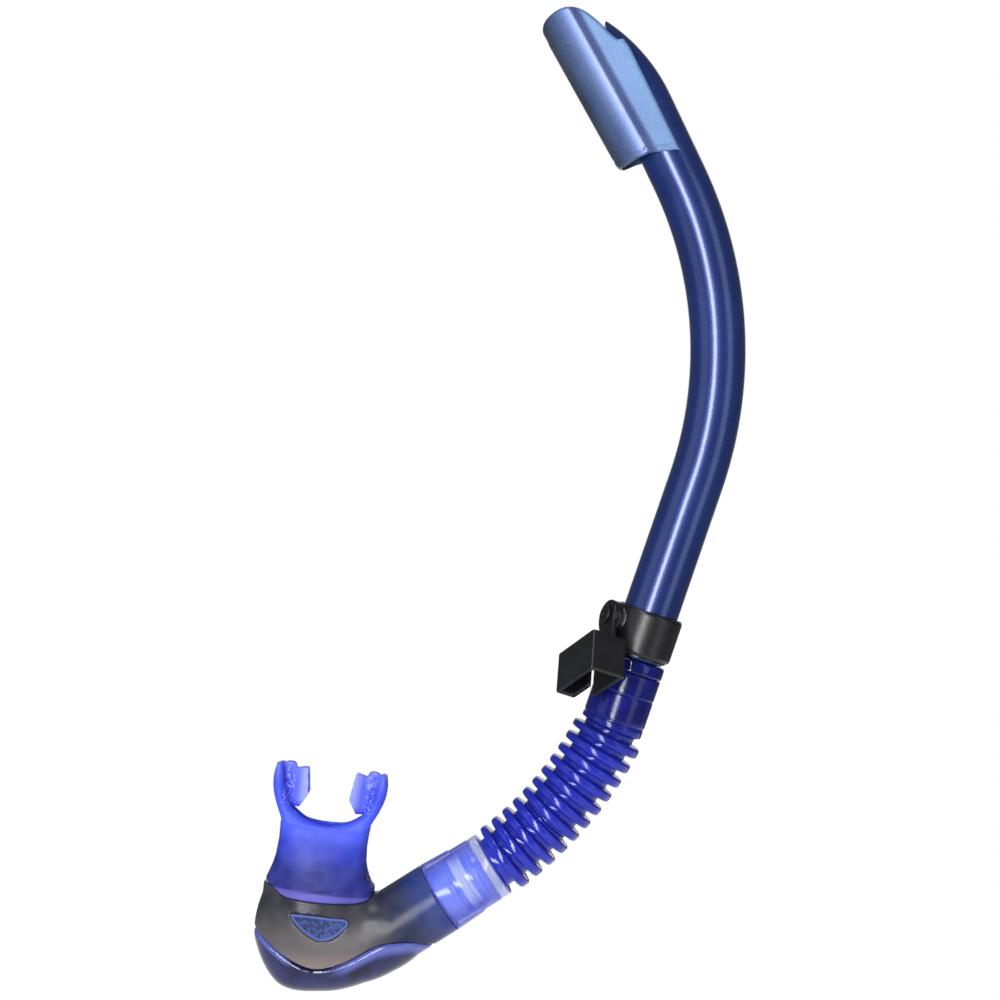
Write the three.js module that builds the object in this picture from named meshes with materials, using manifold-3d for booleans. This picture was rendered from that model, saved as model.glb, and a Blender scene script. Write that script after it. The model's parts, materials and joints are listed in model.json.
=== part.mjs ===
// Snorkel with a curved barrel, a splash hood, a sliding strap keeper, a corrugated hose, a purge chamber
// and a bite mouthpiece. Millimetres, +Z up. The curve of the snorkel lies in the XZ plane.
import * as THREE from 'three';
import { mergeVertices } from 'three/addons/utils/BufferGeometryUtils.js';
import Module from 'manifold-3d';

const wasm = await Module();
wasm.setup();

// ---------------------------------------------------------------- driving dimensions
const CLEARANCE = 0.3;           // between neighbouring pieces
const SIDES = 24;                // facets round a tube

const BARREL_RADIUS = 12.75;     // outside
const BARREL_BORE = 10.5;
const BASE_LEAN = 19;            // degrees from vertical of the straight lower barrel
const STRAIGHT_LENGTH = 75.5;    // keeper to the start of the long bend
const LONG_BEND_RADIUS = 185.5;
const TOP_LEAN = -25.5;
const TOP_STRAIGHT_LENGTH = 35.5;
const TIP_BEND_RADIUS = 70;
const TIP_LEAN = -58;

const KEEPER_RADIUS = 15.5;
const KEEPER_TOP = 12.4;          // above and below the keeper's reference point, along the barrel
const KEEPER_BOTTOM = -10.2;
const LINER_WALL = 0.9;

const COUPLER_FLANGE_RADIUS = 14.6;
const COUPLER_FLANGE_TOP = 10.8; // below the keeper's reference point, along the barrel
const COUPLER_FLANGE_HEIGHT = 6;
const COUPLER_BORE = 9;
const NIPPLE_RADIUS = 12.3;
const BARREL_END = 38.5;         // lower end of the coupler's nipple

const CUFF_RADIUS = 14.5;
const RIB_RADIUS = 16.6;
const RIB_ROOT_RADIUS = 12;
const RIB_WIDTH = 4.4;
const RIB_PITCH = 7.2;
const RIB_COUNT = 11;
const HOSE_BORE = 10.3;
const FIRST_RIB = 49.5;          // below the keeper's reference point, along the hose
const RIBS_START_LEAN = 28.8;
const RIBS_END_LEAN = 52.4;
const CUFF_LEAN = 58;            // of the straight lower cuff and the chamber's neck
const HOSE_END = 156.5;

const NECK_RADIUS = 17;          // chamber where it meets the hose
const CHAMBER_WALL = 2;
const CHAMBER_HALF_DEPTH = 17.5;
const CHAMBER_CORNER = 2;        // radius of the inside corner between neck and mouthpiece
const NECK_LENGTH = 22;
// distance from the inside corner to the chamber's outer side, from the mouthpiece round to the neck
const CHAMBER_REACH = [53.5, 60.8, 63.2, 53.6, 44, 38.8, 36];
const UPSTAND_INSET = 2.6;       // depth of the step under the mouthpiece's hem
const UPSTAND_HEIGHT = 5;
const SEAT_ANGLE = 182;          // degrees, direction of the mouthpiece seat from the inside corner

const MOUTHPIECE_LEAN = 7.6;
const MOUTHPIECE_WALL = 2.2;
const LIP_DEPTH = 22;            // of the shield between lips and gums
const BITE_TAB_THICKNESS = 4;
const BITE_LUG_THICKNESS = 11;

const HOOD_LEAN = -29.1;
const HOOD_HALF_WIDTH = 15.1;
const HOOD_FRONT_DEPTH = 17;     // depth of its rounded front
const HOOD_WALL = 2;

const PIVOT_REACH = 18.6;        // barrel axis to the middle of the clip's hub
const PIVOT_RISE = 4.4;          // above the keeper's reference point, along the barrel
const PIVOT_BEARING = 22;        // degrees, from -X towards -Y
const CLIP_SWIVEL = 33;          // degrees from hanging in line with the barrel
const HUB_RADIUS = 7.4;
const HUB_THICKNESS = 4.6;
const CLIP_PLATE = 2.2;
const CLIP_HEIGHT = 19.4;
const CLIP_HALF_WIDTH = 16;
const CLIP_REACH = 17.4;         // hub middle to the outer face of the outer plate
const CLIP_DROP = 18.3;          // pivot to the top of the hook
const CLIP_TONGUE = 7.4;         // hub middle to the inner face of the tongue
const BOSS_RADIUS = 6;           // the collar's, under the hub
const PIN_RADIUS = 2.4;
const PIN_DEPTH = 1.4;           // of the pin in the collar
const PIN_HEAD_RADIUS = 4.4;
const PIN_HEAD_THICKNESS = 1.2;

const RAD = Math.PI / 180;

// ---------------------------------------------------------------- materials
const paint = (color, roughness, metalness = 0) =>
  new THREE.MeshStandardMaterial({ color, roughness, metalness });
const clear = (color, roughness, opacity) =>
  new THREE.MeshStandardMaterial({ color, roughness, opacity, transparent: true });

const barrelBlue = paint(0x27489a, 0.32, 0.35);
const hoodBlue = paint(0x5f7fc0, 0.4, 0.3);
const clearBlue = clear(0x3a50d8, 0.15, 0.6);
const siliconeBlue = clear(0x2c36b4, 0.25, 0.85);
const mouthBlue = clear(0x4356da, 0.35, 0.9);
const smoke = clear(0x6f6c70, 0.25, 0.8);
const coverBlue = clear(0x252c66, 0.12, 0.9);
const badgeBlue = paint(0x2c4fa4, 0.3, 0.4);
const satinBlack = paint(0x2c2c30, 0.45);
const whiteSilicone = clear(0xd8dce4, 0.4, 0.9);

// ---------------------------------------------------------------- geometry helpers
const vec = (x, y, z) => new THREE.Vector3(x, y, z);

// A closed mesh through rings of equal point counts. A looped loft joins its last ring to its first;
// the other kind is capped at both ends.
function loft(rings, looped) {
  const n = rings[0].length;
  const points = rings.flat();
  const faces = [];
  const last = looped ? rings.length : rings.length - 1;
  for (let i = 0; i < last; i++) {
    const a = i * n;
    const b = ((i + 1) % rings.length) * n;
    for (let k = 0; k < n; k++) {
      const next = (k + 1) % n;
      faces.push([a + k, a + next, b + next], [a + k, b + next, b + k]);
    }
  }
  if (!looped) {
    for (const [start, flip] of [[0, true], [(rings.length - 1) * n, false]]) {
      for (let k = 1; k < n - 1; k++) {
        const face = [start, start + k, start + k + 1];
        faces.push(flip ? face.reverse() : face);
      }
    }
  }
  let volume = 0;
  for (const [a, b, c] of faces) volume += points[a].dot(points[b].clone().cross(points[c]));
  if (volume < 0) faces.forEach((face) => face.reverse());
  const geometry = new THREE.BufferGeometry().setFromPoints(points);
  geometry.setIndex(faces.flat());
  return geometry;
}

function toSolid(geometry) {
  const bare = geometry.clone();
  bare.deleteAttribute('normal');
  bare.deleteAttribute('uv');
  const merged = mergeVertices(bare, 1e-4);
  const vertProperties = new Float32Array(merged.attributes.position.array);
  const triVerts = new Uint32Array(merged.index.array);
  return new wasm.Manifold(new wasm.Mesh({ numProp: 3, vertProperties, triVerts }));
}

function toGeometry(solid) {
  const { vertProperties, triVerts } = solid.getMesh();
  const geometry = new THREE.BufferGeometry();
  geometry.setAttribute('position', new THREE.BufferAttribute(new Float32Array(vertProperties), 3));
  geometry.setIndex(new THREE.BufferAttribute(new Uint32Array(triVerts), 1));
  return geometry;
}

const join = (...shapes) => toGeometry(shapes.map(toSolid).reduce((all, one) => all.add(one)));
const cut = (body, ...tools) =>
  toGeometry(tools.map(toSolid).reduce((rest, tool) => rest.subtract(tool), toSolid(body)));
const common = (a, b) => toGeometry(toSolid(a).intersect(toSolid(b)));

// A flat outline of [x, y] points, extruded from -depth/2 to +depth/2.
function slab(points, depth, bevel = 0) {
  const shape = new THREE.Shape(points.map(([x, y]) => new THREE.Vector2(x, y)));
  const geometry = new THREE.ExtrudeGeometry(shape, {
    depth: depth - 2 * bevel,
    bevelEnabled: bevel > 0,
    bevelThickness: bevel,
    bevelSize: bevel,
    bevelOffset: -bevel,
    bevelSegments: 2,
  });
  return geometry.translate(0, 0, bevel - depth / 2);
}

// Turns a slab so that its outline lies in the XZ plane and its depth runs along Y.
const standUp = (geometry) => geometry.rotateX(Math.PI / 2);

// Points of a smooth curve through a few given points.
const smooth = (points, count) =>
  new THREE.CatmullRomCurve3(points.map(([x, y]) => vec(x, y, 0)), false, 'centripetal')
    .getPoints(count)
    .map((p) => [p.x, p.y]);

// ---------------------------------------------------------------- centre lines
// A route in the XZ plane, made of pieces of even curvature. Each piece is [length, lean at its end].
// direction is +1 for a route that climbs and -1 for one that descends.
function route(start, lean, direction, pieces) {
  return (s) => {
    let [x, z] = start;
    let from = lean * RAD;
    let left = s;
    for (const [i, [length, endLean]] of pieces.entries()) {
      const to = endLean * RAD;
      const part = i === pieces.length - 1 ? left : Math.min(left, length);
      const now = from + ((to - from) * part) / length;
      const curvature = (to - from) / length;
      if (Math.abs(curvature) < 1e-9) {
        x += direction * part * Math.sin(from);
        z += direction * part * Math.cos(from);
      } else {
        x += (direction * (Math.cos(from) - Math.cos(now))) / curvature;
        z += (direction * (Math.sin(now) - Math.sin(from))) / curvature;
      }
      from = now;
      left -= part;
      if (left <= 1e-9) break;
    }
    return { point: vec(x, 0, z), up: vec(Math.sin(from), 0, Math.cos(from)), lean: from };
  };
}

const arcLength = (radius, fromLean, toLean) => radius * Math.abs(toLean - fromLean) * RAD;
const longBend = arcLength(LONG_BEND_RADIUS, BASE_LEAN, TOP_LEAN);
const tipBend = arcLength(TIP_BEND_RADIUS, TOP_LEAN, TIP_LEAN);
const barrelTop = STRAIGHT_LENGTH + longBend + TOP_STRAIGHT_LENGTH + tipBend;
const ribsLength = (RIB_COUNT - 1) * RIB_PITCH;
const lastRib = FIRST_RIB + ribsLength;

const barrelRoute = route([0, 0], BASE_LEAN, 1, [
  [STRAIGHT_LENGTH, BASE_LEAN],
  [longBend, TOP_LEAN],
  [TOP_STRAIGHT_LENGTH, TOP_LEAN],
  [tipBend, TIP_LEAN],
]);
const hoseRoute = route([0, 0], BASE_LEAN, -1, [
  [BARREL_END, BASE_LEAN],
  [FIRST_RIB - BARREL_END, RIBS_START_LEAN],
  [ribsLength, RIBS_END_LEAN],
  [RIB_PITCH, CUFF_LEAN],
  [HOSE_END, CUFF_LEAN],
]);

// The ring of a route at distance s, as an oval of half width a in the XZ plane and half depth b along Y.
function ringAt(place, a, b = a, power = 2, sides = SIDES) {
  const across = vec(place.up.z, 0, -place.up.x);
  return Array.from({ length: sides }, (_, k) => {
    const turn = ((k + 0.5) / sides) * 2 * Math.PI;
    const c = Math.cos(turn);
    const s = Math.sin(turn);
    const u = Math.sign(c) * Math.abs(c) ** (2 / power) * a;
    const v = Math.sign(s) * Math.abs(s) ** (2 / power) * b;
    return place.point.clone().addScaledVector(across, u).add(vec(0, v, 0));
  });
}

// A hollow round piece along a route. Its section is a closed outline of [distance, radius] points.
const sleeve = (path, section, sides = SIDES) =>
  loft(section.map(([s, r]) => ringAt(path(s), r, r, 2, sides)), true);

// A round piece about Z, turned from [radius, height] points.
const turned = (profile, sides) =>
  new THREE.LatheGeometry(profile.map(([r, z]) => new THREE.Vector2(r, z)), sides).rotateX(Math.PI / 2);

const evenly = (from, to, steps) => Array.from({ length: steps + 1 }, (_, i) => from + ((to - from) * i) / steps);

// Moves a piece made at the origin so that its Z lies along the barrel at the keeper.
const alongBarrel = new THREE.Matrix4().makeRotationY(BASE_LEAN * RAD);
const barrelUp = vec(0, 0, 1).applyMatrix4(alongBarrel);

// ---------------------------------------------------------------- barrel, hood and coupler
const hoodFoot = vec(-13.6, 0, 219);
const hoodUp = vec(Math.sin(HOOD_LEAN * RAD), 0, Math.cos(HOOD_LEAN * RAD));
const hoodBack = vec(hoodUp.z, 0, -hoodUp.x);
// X runs back from the hood's front, Y across the snorkel and Z up along the hood.
const inHood = new THREE.Matrix4().makeBasis(hoodBack, vec(0, 1, 0), hoodUp).setPosition(hoodFoot);

function mainTube() {
  const steps = [
    -COUPLER_FLANGE_TOP + CLEARANCE, 0, STRAIGHT_LENGTH,
    ...evenly(STRAIGHT_LENGTH, STRAIGHT_LENGTH + longBend, 12).slice(1),
    ...evenly(barrelTop - tipBend, barrelTop, 5),
  ];
  const place = (s) => (s < 0 ? hoseRoute(-s) : barrelRoute(s));
  const rings = [
    ...steps.map((s) => ringAt(place(s), BARREL_RADIUS)),
    ...steps.reverse().map((s) => ringAt(place(s), BARREL_BORE)),
  ];
  // the open end is cut on a slant, facing the front of the hood
  const slant = standUp(slab([[27.3, 60], [13, 24], [-30, 24], [-30, 90], [39, 90]], 60)).applyMatrix4(inHood);
  return cut(loft(rings, true), slant);
}

// The hood's section: a half round front and straight sides, inset by a wall thickness.
function hoodColumn(inset) {
  const front = evenly(-90, 90, 14).map((angle) => [
    HOOD_FRONT_DEPTH - (HOOD_FRONT_DEPTH - inset) * Math.cos(angle * RAD),
    (HOOD_HALF_WIDTH - inset) * Math.sin(angle * RAD),
  ]);
  return slab([...front, [45, HOOD_HALF_WIDTH - inset], [45, inset - HOOD_HALF_WIDTH]], 200).translate(0, 0, 30);
}

function splashHood() {
  const crown = smooth([[27, 50], [25.4, 58], [20, 68.5], [9.5, 74], [1.5, 70], [0, 62]], 14);
  const foot = [[-1, -0.5], [0.6, -2.6], [3, -3.6], [9, -3.6], [15, -4.6], [27.6, -10]];
  const notch = [[31.5, 44], [30.8, 46.4], [28.6, 47.4]];
  const side = [...foot, ...notch, ...crown, [-1, 62]];
  const innerCrown = crown.map(([x, z]) => [x + (x < 9 ? HOOD_WALL : 0), z - HOOD_WALL]);
  const inner = [[-5, -30], [60, -30], [60, 47], ...innerCrown, [-5, 60]];
  const outside = common(hoodColumn(0), standUp(slab(side, 60)));
  const hollow = common(hoodColumn(HOOD_WALL), standUp(slab(inner, 60)));
  const hood = cut(outside, hollow).applyMatrix4(inHood);
  const steps = evenly(barrelTop - tipBend - 60, barrelTop + 8, 14);
  const barrelSpace = loft(steps.map((s) => ringAt(barrelRoute(s), BARREL_RADIUS + CLEARANCE)), false);
  return cut(hood, barrelSpace);
}

// Three vanes on a crossbar that stop waves driving up the hood's mouth.
function splashBaffle() {
  const bar = new THREE.BoxGeometry(1.6, 17, 3).translate(8, 0, 15.5);
  const vanes = [[-6, 4.2], [0, 2.5], [6, 4.2]].map(([y, front]) => {
    const depth = 10.6 - front;
    return new THREE.BoxGeometry(depth, 1.2, 14).translate(front + depth / 2, y, 9.8);
  });
  return join(bar, ...vanes).applyMatrix4(inHood);
}

function hoseCoupler() {
  const top = COUPLER_FLANGE_TOP;
  const foot = top + COUPLER_FLANGE_HEIGHT;
  const inner = BARREL_BORE - CLEARANCE;
  const path = (s) => (s < 0 ? barrelRoute(-s) : hoseRoute(s));
  return sleeve(path, [
    [-8, inner], [top, inner], [top, COUPLER_FLANGE_RADIUS - 1], [top + 1, COUPLER_FLANGE_RADIUS],
    [foot - 1, COUPLER_FLANGE_RADIUS], [foot, COUPLER_FLANGE_RADIUS - 1], [foot, NIPPLE_RADIUS],
    [27, NIPPLE_RADIUS], [27.6, NIPPLE_RADIUS + 0.5], [30, NIPPLE_RADIUS],
    [35, NIPPLE_RADIUS], [35.6, NIPPLE_RADIUS + 0.5], [BARREL_END, NIPPLE_RADIUS - 0.4],
    [BARREL_END, COUPLER_BORE], [-8, COUPLER_BORE],
  ]);
}

// ---------------------------------------------------------------- strap keeper
const linerRadius = BARREL_RADIUS + CLEARANCE + LINER_WALL;

function keeperLiner() {
  const bore = BARREL_RADIUS + CLEARANCE;
  const foot = KEEPER_BOTTOM + 0.8;
  const top = KEEPER_TOP - 0.8;
  return turned([[bore, foot], [linerRadius, foot], [linerRadius, top], [bore, top], [bore, foot]], SIDES)
    .applyMatrix4(alongBarrel);
}

// Directions of the strap clip: the pivot's axis away from the barrel, up along the clip, and its width.
const bearing = new THREE.Matrix4().makeRotationZ((180 + PIVOT_BEARING) * RAD);
const pivotAxis = vec(1, 0, 0).applyMatrix4(bearing).applyMatrix4(alongBarrel);
const clipUp = barrelUp.clone().applyAxisAngle(pivotAxis, CLIP_SWIVEL * RAD);
const clipSide = clipUp.clone().cross(pivotAxis);
const pivotPoint = barrelUp.clone().multiplyScalar(PIVOT_RISE).addScaledVector(pivotAxis, PIVOT_REACH);
// X runs out along the pivot, Y across the clip and Z up along it.
const inClip = new THREE.Matrix4().makeBasis(pivotAxis, clipSide, clipUp).setPosition(pivotPoint);

// A cylinder along the clip's pivot, between two distances from the middle of the hub.
const pivotRound = (radius, from, to, sides = 24) =>
  new THREE.CylinderGeometry(radius, radius, to - from, sides)
    .rotateZ(Math.PI / 2)
    .translate((from + to) / 2, 0, 0);

const hubInner = -HUB_THICKNESS / 2;
const hubOuter = HUB_THICKNESS / 2;

function keeperCollar() {
  const bore = linerRadius + CLEARANCE;
  const lip = 1.1;
  const ring = turned([
    [bore, KEEPER_BOTTOM], [KEEPER_RADIUS - lip, KEEPER_BOTTOM], [KEEPER_RADIUS, KEEPER_BOTTOM + lip],
    [KEEPER_RADIUS, KEEPER_TOP - lip], [KEEPER_RADIUS - lip, KEEPER_TOP], [bore, KEEPER_TOP],
    [bore, KEEPER_BOTTOM],
  ], 36).applyMatrix4(alongBarrel);
  const boss = pivotRound(BOSS_RADIUS, linerRadius + 0.8 - PIVOT_REACH, hubInner - CLEARANCE).applyMatrix4(inClip);
  const pinHole = pivotRound(PIN_RADIUS + CLEARANCE, hubInner - PIN_DEPTH - CLEARANCE, hubInner + 1);
  return cut(join(ring, boss), pinHole.applyMatrix4(inClip));
}

function pivotPin() {
  const shank = pivotRound(PIN_RADIUS, hubInner - PIN_DEPTH, hubOuter + 0.4);
  const head = pivotRound(PIN_HEAD_RADIUS, hubOuter + CLEARANCE, hubOuter + CLEARANCE + PIN_HEAD_THICKNESS);
  const recess = pivotRound(1.6, hubOuter + 0.8, hubOuter + 3, 6);
  return cut(join(shank, head), recess).applyMatrix4(inClip);
}

// The clip's section, seen from above: an inner plate, a near wall, an outer plate that faces away from the
// barrel, a far wall, and a tongue that runs back between the plates and keeps the mask strap in.
function strapClip() {
  const t = CLIP_PLATE;
  const w = CLIP_HALF_WIDTH;
  const innerFace = hubOuter - t;
  const tongue = CLIP_TONGUE;
  const hook = [
    [innerFace, w], [CLIP_REACH - 1, w], [CLIP_REACH, w - 1], [CLIP_REACH, 1 - w], [CLIP_REACH - 1, -w],
    [tongue, -w], [tongue, -3], [tongue + 0.9, -2], [tongue + t, -3], [tongue + t, t - w], [CLIP_REACH - t, t - w],
    [CLIP_REACH - t, w - t], [innerFace + t, w - t], [innerFace + t, -9], [innerFace, -9],
  ];
  const body = slab(hook, CLIP_HEIGHT).translate(0, 0, -CLIP_DROP - CLIP_HEIGHT / 2);
  const hub = pivotRound(HUB_RADIUS, hubInner, hubOuter, 32);
  const stem = new THREE.BoxGeometry(t, 2 * HUB_RADIUS - 2, CLIP_DROP + 1)
    .translate(innerFace + t / 2, 0, -(CLIP_DROP + 1) / 2);
  const hole = pivotRound(PIN_RADIUS + CLEARANCE, -9, 9);
  return cut(join(body, hub, stem), hole).applyMatrix4(inClip);
}

// ---------------------------------------------------------------- hose
// The hose's outer side over ribs first to last, as [distance, radius] points.
function ribOutline(first, last) {
  const points = [];
  const half = RIB_WIDTH / 2;
  for (let rib = first; rib <= last; rib++) {
    const middle = FIRST_RIB + rib * RIB_PITCH;
    points.push(
      [middle - half, RIB_ROOT_RADIUS], [middle - half + 0.5, RIB_RADIUS - 0.7], [middle, RIB_RADIUS],
      [middle + half - 0.5, RIB_RADIUS - 0.7], [middle + half, RIB_ROOT_RADIUS],
    );
  }
  return points;
}

// Part of the corrugated hose, ending in the middle of the grooves on either side of its ribs.
function bellows(first, last) {
  const start = FIRST_RIB + (first - 0.5) * RIB_PITCH + CLEARANCE / 2;
  const end = FIRST_RIB + (last + 0.5) * RIB_PITCH - CLEARANCE / 2;
  return sleeve(hoseRoute, [
    [start, RIB_ROOT_RADIUS], ...ribOutline(first, last), [end, RIB_ROOT_RADIUS],
    ...evenly(end, start, 2 * (last - first + 1)).map((s) => [s, HOSE_BORE]),
  ], 20);
}

const cuffBore = NIPPLE_RADIUS + 0.5 + CLEARANCE;
const bellowsStart = FIRST_RIB - RIB_PITCH / 2;
const bellowsEnd = lastRib + RIB_PITCH / 2;
const UPPER_RIBS = [0, 3];
const MIDDLE_RIBS = [4, 6];
const LOWER_RIBS = [7, 10];

function hoseUpperCuff() {
  const top = COUPLER_FLANGE_TOP + COUPLER_FLANGE_HEIGHT + CLEARANCE;
  const end = bellowsStart - CLEARANCE / 2;
  return sleeve(hoseRoute, [
    [top, CUFF_RADIUS - 0.4], [top + 0.5, CUFF_RADIUS], [BARREL_END, CUFF_RADIUS], [43.5, CUFF_RADIUS],
    [44.6, RIB_ROOT_RADIUS], [end, RIB_ROOT_RADIUS], [end, HOSE_BORE], [44.5, HOSE_BORE],
    [BARREL_END + 1.5, cuffBore], [BARREL_END, cuffBore], [top, cuffBore],
  ]);
}

const SPIGOT_RADIUS = 13.4;
const SPIGOT_BARB = 0.5;
const spigotTip = 132;
const lowerBore = SPIGOT_RADIUS + SPIGOT_BARB + CLEARANCE;

function hoseLowerCuff() {
  const start = bellowsEnd + CLEARANCE / 2;
  return sleeve(hoseRoute, [
    [start, RIB_ROOT_RADIUS], [127.2, RIB_ROOT_RADIUS], [128, CUFF_RADIUS + 1.2], [142, CUFF_RADIUS + 1.4],
    [142.6, CUFF_RADIUS + 1.8], [HOSE_END - 1, NECK_RADIUS], [HOSE_END, NECK_RADIUS - 0.4],
    [HOSE_END, lowerBore], [spigotTip - 0.5, lowerBore], [spigotTip - 3, HOSE_BORE], [start, HOSE_BORE],
  ]);
}

function chamberSpigot() {
  const r = SPIGOT_RADIUS;
  const barbs = [135, 141, 147].flatMap((s) => [[s, r], [s + 0.6, r + SPIGOT_BARB], [s + 3, r]]);
  const end = HOSE_END + 7;
  return sleeve(hoseRoute, [
    [spigotTip, r - 0.6], ...barbs, [HOSE_END, r], [HOSE_END + CLEARANCE, r + 0.9], [end, r + 0.9], [end, 11.2],
    [spigotTip, 11.2],
  ]);
}

// ---------------------------------------------------------------- chamber
const neckEnd = hoseRoute(HOSE_END + CLEARANCE);
const neckAcross = vec(-neckEnd.up.z, 0, neckEnd.up.x);
const neckRoot = neckEnd.point.clone().addScaledVector(neckEnd.up, -NECK_LENGTH);
const insideCorner = neckRoot.clone().addScaledVector(neckAcross, NECK_RADIUS + CHAMBER_CORNER);
const neckAngle = 270 + 90 - CUFF_LEAN;   // the direction from the inside corner straight across the neck

// The chamber's reach from its inside corner, between the seat (0) and the neck (1).
const reachCurve = new THREE.CatmullRomCurve3(CHAMBER_REACH.map((r, i) => vec(i, r, 0)), false, 'centripetal');
const reachAt = (t) => reachCurve.getPoint(t).y;

// A section of the chamber on a plane that turns about its inside corner.
function chamberRing(t, inset) {
  const angle = (SEAT_ANGLE + (neckAngle - SEAT_ANGLE) * t) * RAD;
  const out = vec(Math.cos(angle), 0, Math.sin(angle));
  const half = (reachAt(t) - CHAMBER_CORNER) / 2;
  const point = insideCorner.clone().addScaledVector(out, CHAMBER_CORNER + half);
  const place = { point, up: vec(out.z, 0, -out.x) };
  const depth = CHAMBER_HALF_DEPTH - (CHAMBER_HALF_DEPTH - NECK_RADIUS) * t;
  return ringAt(place, half - inset, depth - inset, 2.5 - 0.5 * t);
}

const seatOut = vec(Math.cos(SEAT_ANGLE * RAD), 0, Math.sin(SEAT_ANGLE * RAD));
const seatHalf = (CHAMBER_REACH[0] - CHAMBER_CORNER) / 2;
const seatPoint = insideCorner.clone().addScaledVector(seatOut, CHAMBER_CORNER + seatHalf);
const mouthUp = vec(Math.sin(MOUTHPIECE_LEAN * RAD), 0, Math.cos(MOUTHPIECE_LEAN * RAD));

// Places up the mouthpiece's axis. The lowest lies flat on the seat and the higher ones lean with the axis.
function mouthPlace(height) {
  const lean = MOUTHPIECE_LEAN * RAD * Math.min(1, height / 20);
  return { point: seatPoint.clone().addScaledVector(mouthUp, height), up: vec(Math.sin(lean), 0, Math.cos(lean)) };
}

// The chamber's rings, from a height above the seat to the end of its neck, at an inset from the outside.
function chamberRings(insetAt, height) {
  const top = ringAt(mouthPlace(height), seatHalf - insetAt(0), CHAMBER_HALF_DEPTH - insetAt(0), 2.5);
  const turns = evenly(0, 1, 10).map((t) => chamberRing(t, insetAt(t)));
  const neck = [0.5, 0].map((part) => {
    const point = neckEnd.point.clone().addScaledVector(neckEnd.up, -NECK_LENGTH * part);
    return ringAt({ point, up: neckEnd.up.clone().negate() }, NECK_RADIUS - insetAt(1));
  });
  return [top, ...turns, ...neck];
}

// The chamber's wall is thicker on the inside where the mouthpiece's hem is let into its outside.
const innerInset = (t) => CHAMBER_WALL + UPSTAND_INSET * Math.min(1, Math.max(0, 3 - 6 * t));
const chamberShell = () => loft([
  ...chamberRings(() => 0, UPSTAND_HEIGHT),
  ...chamberRings(innerInset, UPSTAND_HEIGHT).reverse(),
], true);
const chamberSolid = (inset, height) => loft(chamberRings(() => inset, height), false);

// The region of the mouthpiece's hem: everything above a shallow bowl-shaped line.
function hemRegion(lift) {
  const line = smooth([
    [-190, -100], [-176, -109], [-169.4, -112.6], [-163.7, -116.6], [-157, -118.2], [-142.6, -120], [-130, -120.6],
    [-125.4, -119.4], [-123.4, -117], [-118, -108],
  ], 30);
  return standUp(slab([...line, [-118, -60], [-190, -60]], 80)).translate(0, 0, lift);
}

// The region of the purge cover: everything under a wave that dips in the middle of the chamber.
function coverRegion(drop) {
  const wave = smooth([
    [-188, -124], [-176, -133.6], [-165, -143], [-150, -149.8], [-136, -146.6], [-121, -139], [-108, -137.6],
    [-96, -140.4], [-86, -146],
  ], 32);
  return standUp(slab([...wave, [-86, -185], [-188, -185]], 80)).translate(0, 0, -drop);
}

// A polygon with its corners rounded off from a given distance along each side.
function rounded(corners, size) {
  return corners.flatMap((corner, i) => {
    const here = new THREE.Vector2(...corner);
    const towards = (other) => here.clone().add(
      new THREE.Vector2(...other).sub(here).setLength(size));
    const before = towards(corners.at(i - 1));
    const after = towards(corners[(i + 1) % corners.length]);
    return new THREE.QuadraticBezierCurve(before, here, after).getPoints(5).map((p) => [p.x, p.y]);
  });
}

const BADGE_CORNERS = [[-161.4, -124.4], [-132.6, -127.8], [-147.2, -138.4]];
const BADGE_THICKNESS = 1.3;
const badgeFace = CHAMBER_HALF_DEPTH + 0.6;

// The badge's prism on one side of the chamber (-1 front, +1 back), grown all round for its pocket.
function badgeBlock(side, grow) {
  const middle = new THREE.Vector2(-147.1, -130.2);
  const corners = BADGE_CORNERS.map(([x, z]) => {
    const corner = new THREE.Vector2(x, z);
    return corner.add(corner.clone().sub(middle).setLength(2 * grow)).toArray();
  });
  const depth = BADGE_THICKNESS + grow * 10;
  const block = standUp(slab(rounded(corners, 4.5), depth, grow ? 0 : 0.3));
  return block.translate(0, side * (badgeFace - BADGE_THICKNESS - grow + depth / 2), 0);
}

function chamberBody() {
  const hem = cut(hemRegion(0), chamberSolid(UPSTAND_INSET, UPSTAND_HEIGHT + 3));
  return cut(chamberShell(), hem, coverRegion(-CLEARANCE / 2), badgeBlock(-1, CLEARANCE), badgeBlock(1, CLEARANCE));
}

function purgeCover() {
  const slots = [-12, 0, 12].map((x) => new THREE.BoxGeometry(7, 12, 2).translate(-143 + x, 14, -155.5));
  return cut(common(chamberShell(), coverRegion(CLEARANCE / 2)), ...slots);
}

const VALVE_X = -147;
const VALVE_Z = -146;            // top of the purge seat
const SEAT_THICKNESS = 1.8;
const MEMBRANE_RADIUS = 10.5;
const MEMBRANE_TRAVEL = 1.5;

function purgeSeat() {
  const inside = loft(chamberRings((t) => innerInset(t) + CLEARANCE, 0), false);
  const plate = new THREE.BoxGeometry(120, 60, SEAT_THICKNESS).translate(VALVE_X, 0, VALVE_Z - SEAT_THICKNESS / 2);
  const round = (radius, x, y) => new THREE.CylinderGeometry(radius, radius, 10, 16)
    .rotateX(Math.PI / 2)
    .translate(VALVE_X + x, y, VALVE_Z);
  const ports = evenly(0, 300, 5).map((a) => round(2.3, 5.8 * Math.cos(a * RAD), 5.8 * Math.sin(a * RAD)));
  return cut(common(inside, plate), round(1.6, 0, 0), ...ports);
}

function purgeMembrane() {
  const top = VALVE_Z - SEAT_THICKNESS - CLEARANCE;
  const bead = VALVE_Z + MEMBRANE_TRAVEL + CLEARANCE;
  const profile = [
    [0, top - 1.2], [2, top - 1.2], [MEMBRANE_RADIUS, top - 0.6], [MEMBRANE_RADIUS, top], [1.25, top],
    [1.25, bead], [2.1, bead + 0.3], [1, bead + 2.4], [0, bead + 2.4],
  ];
  return turned(profile, 24).translate(VALVE_X, 0, 0);
}

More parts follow.
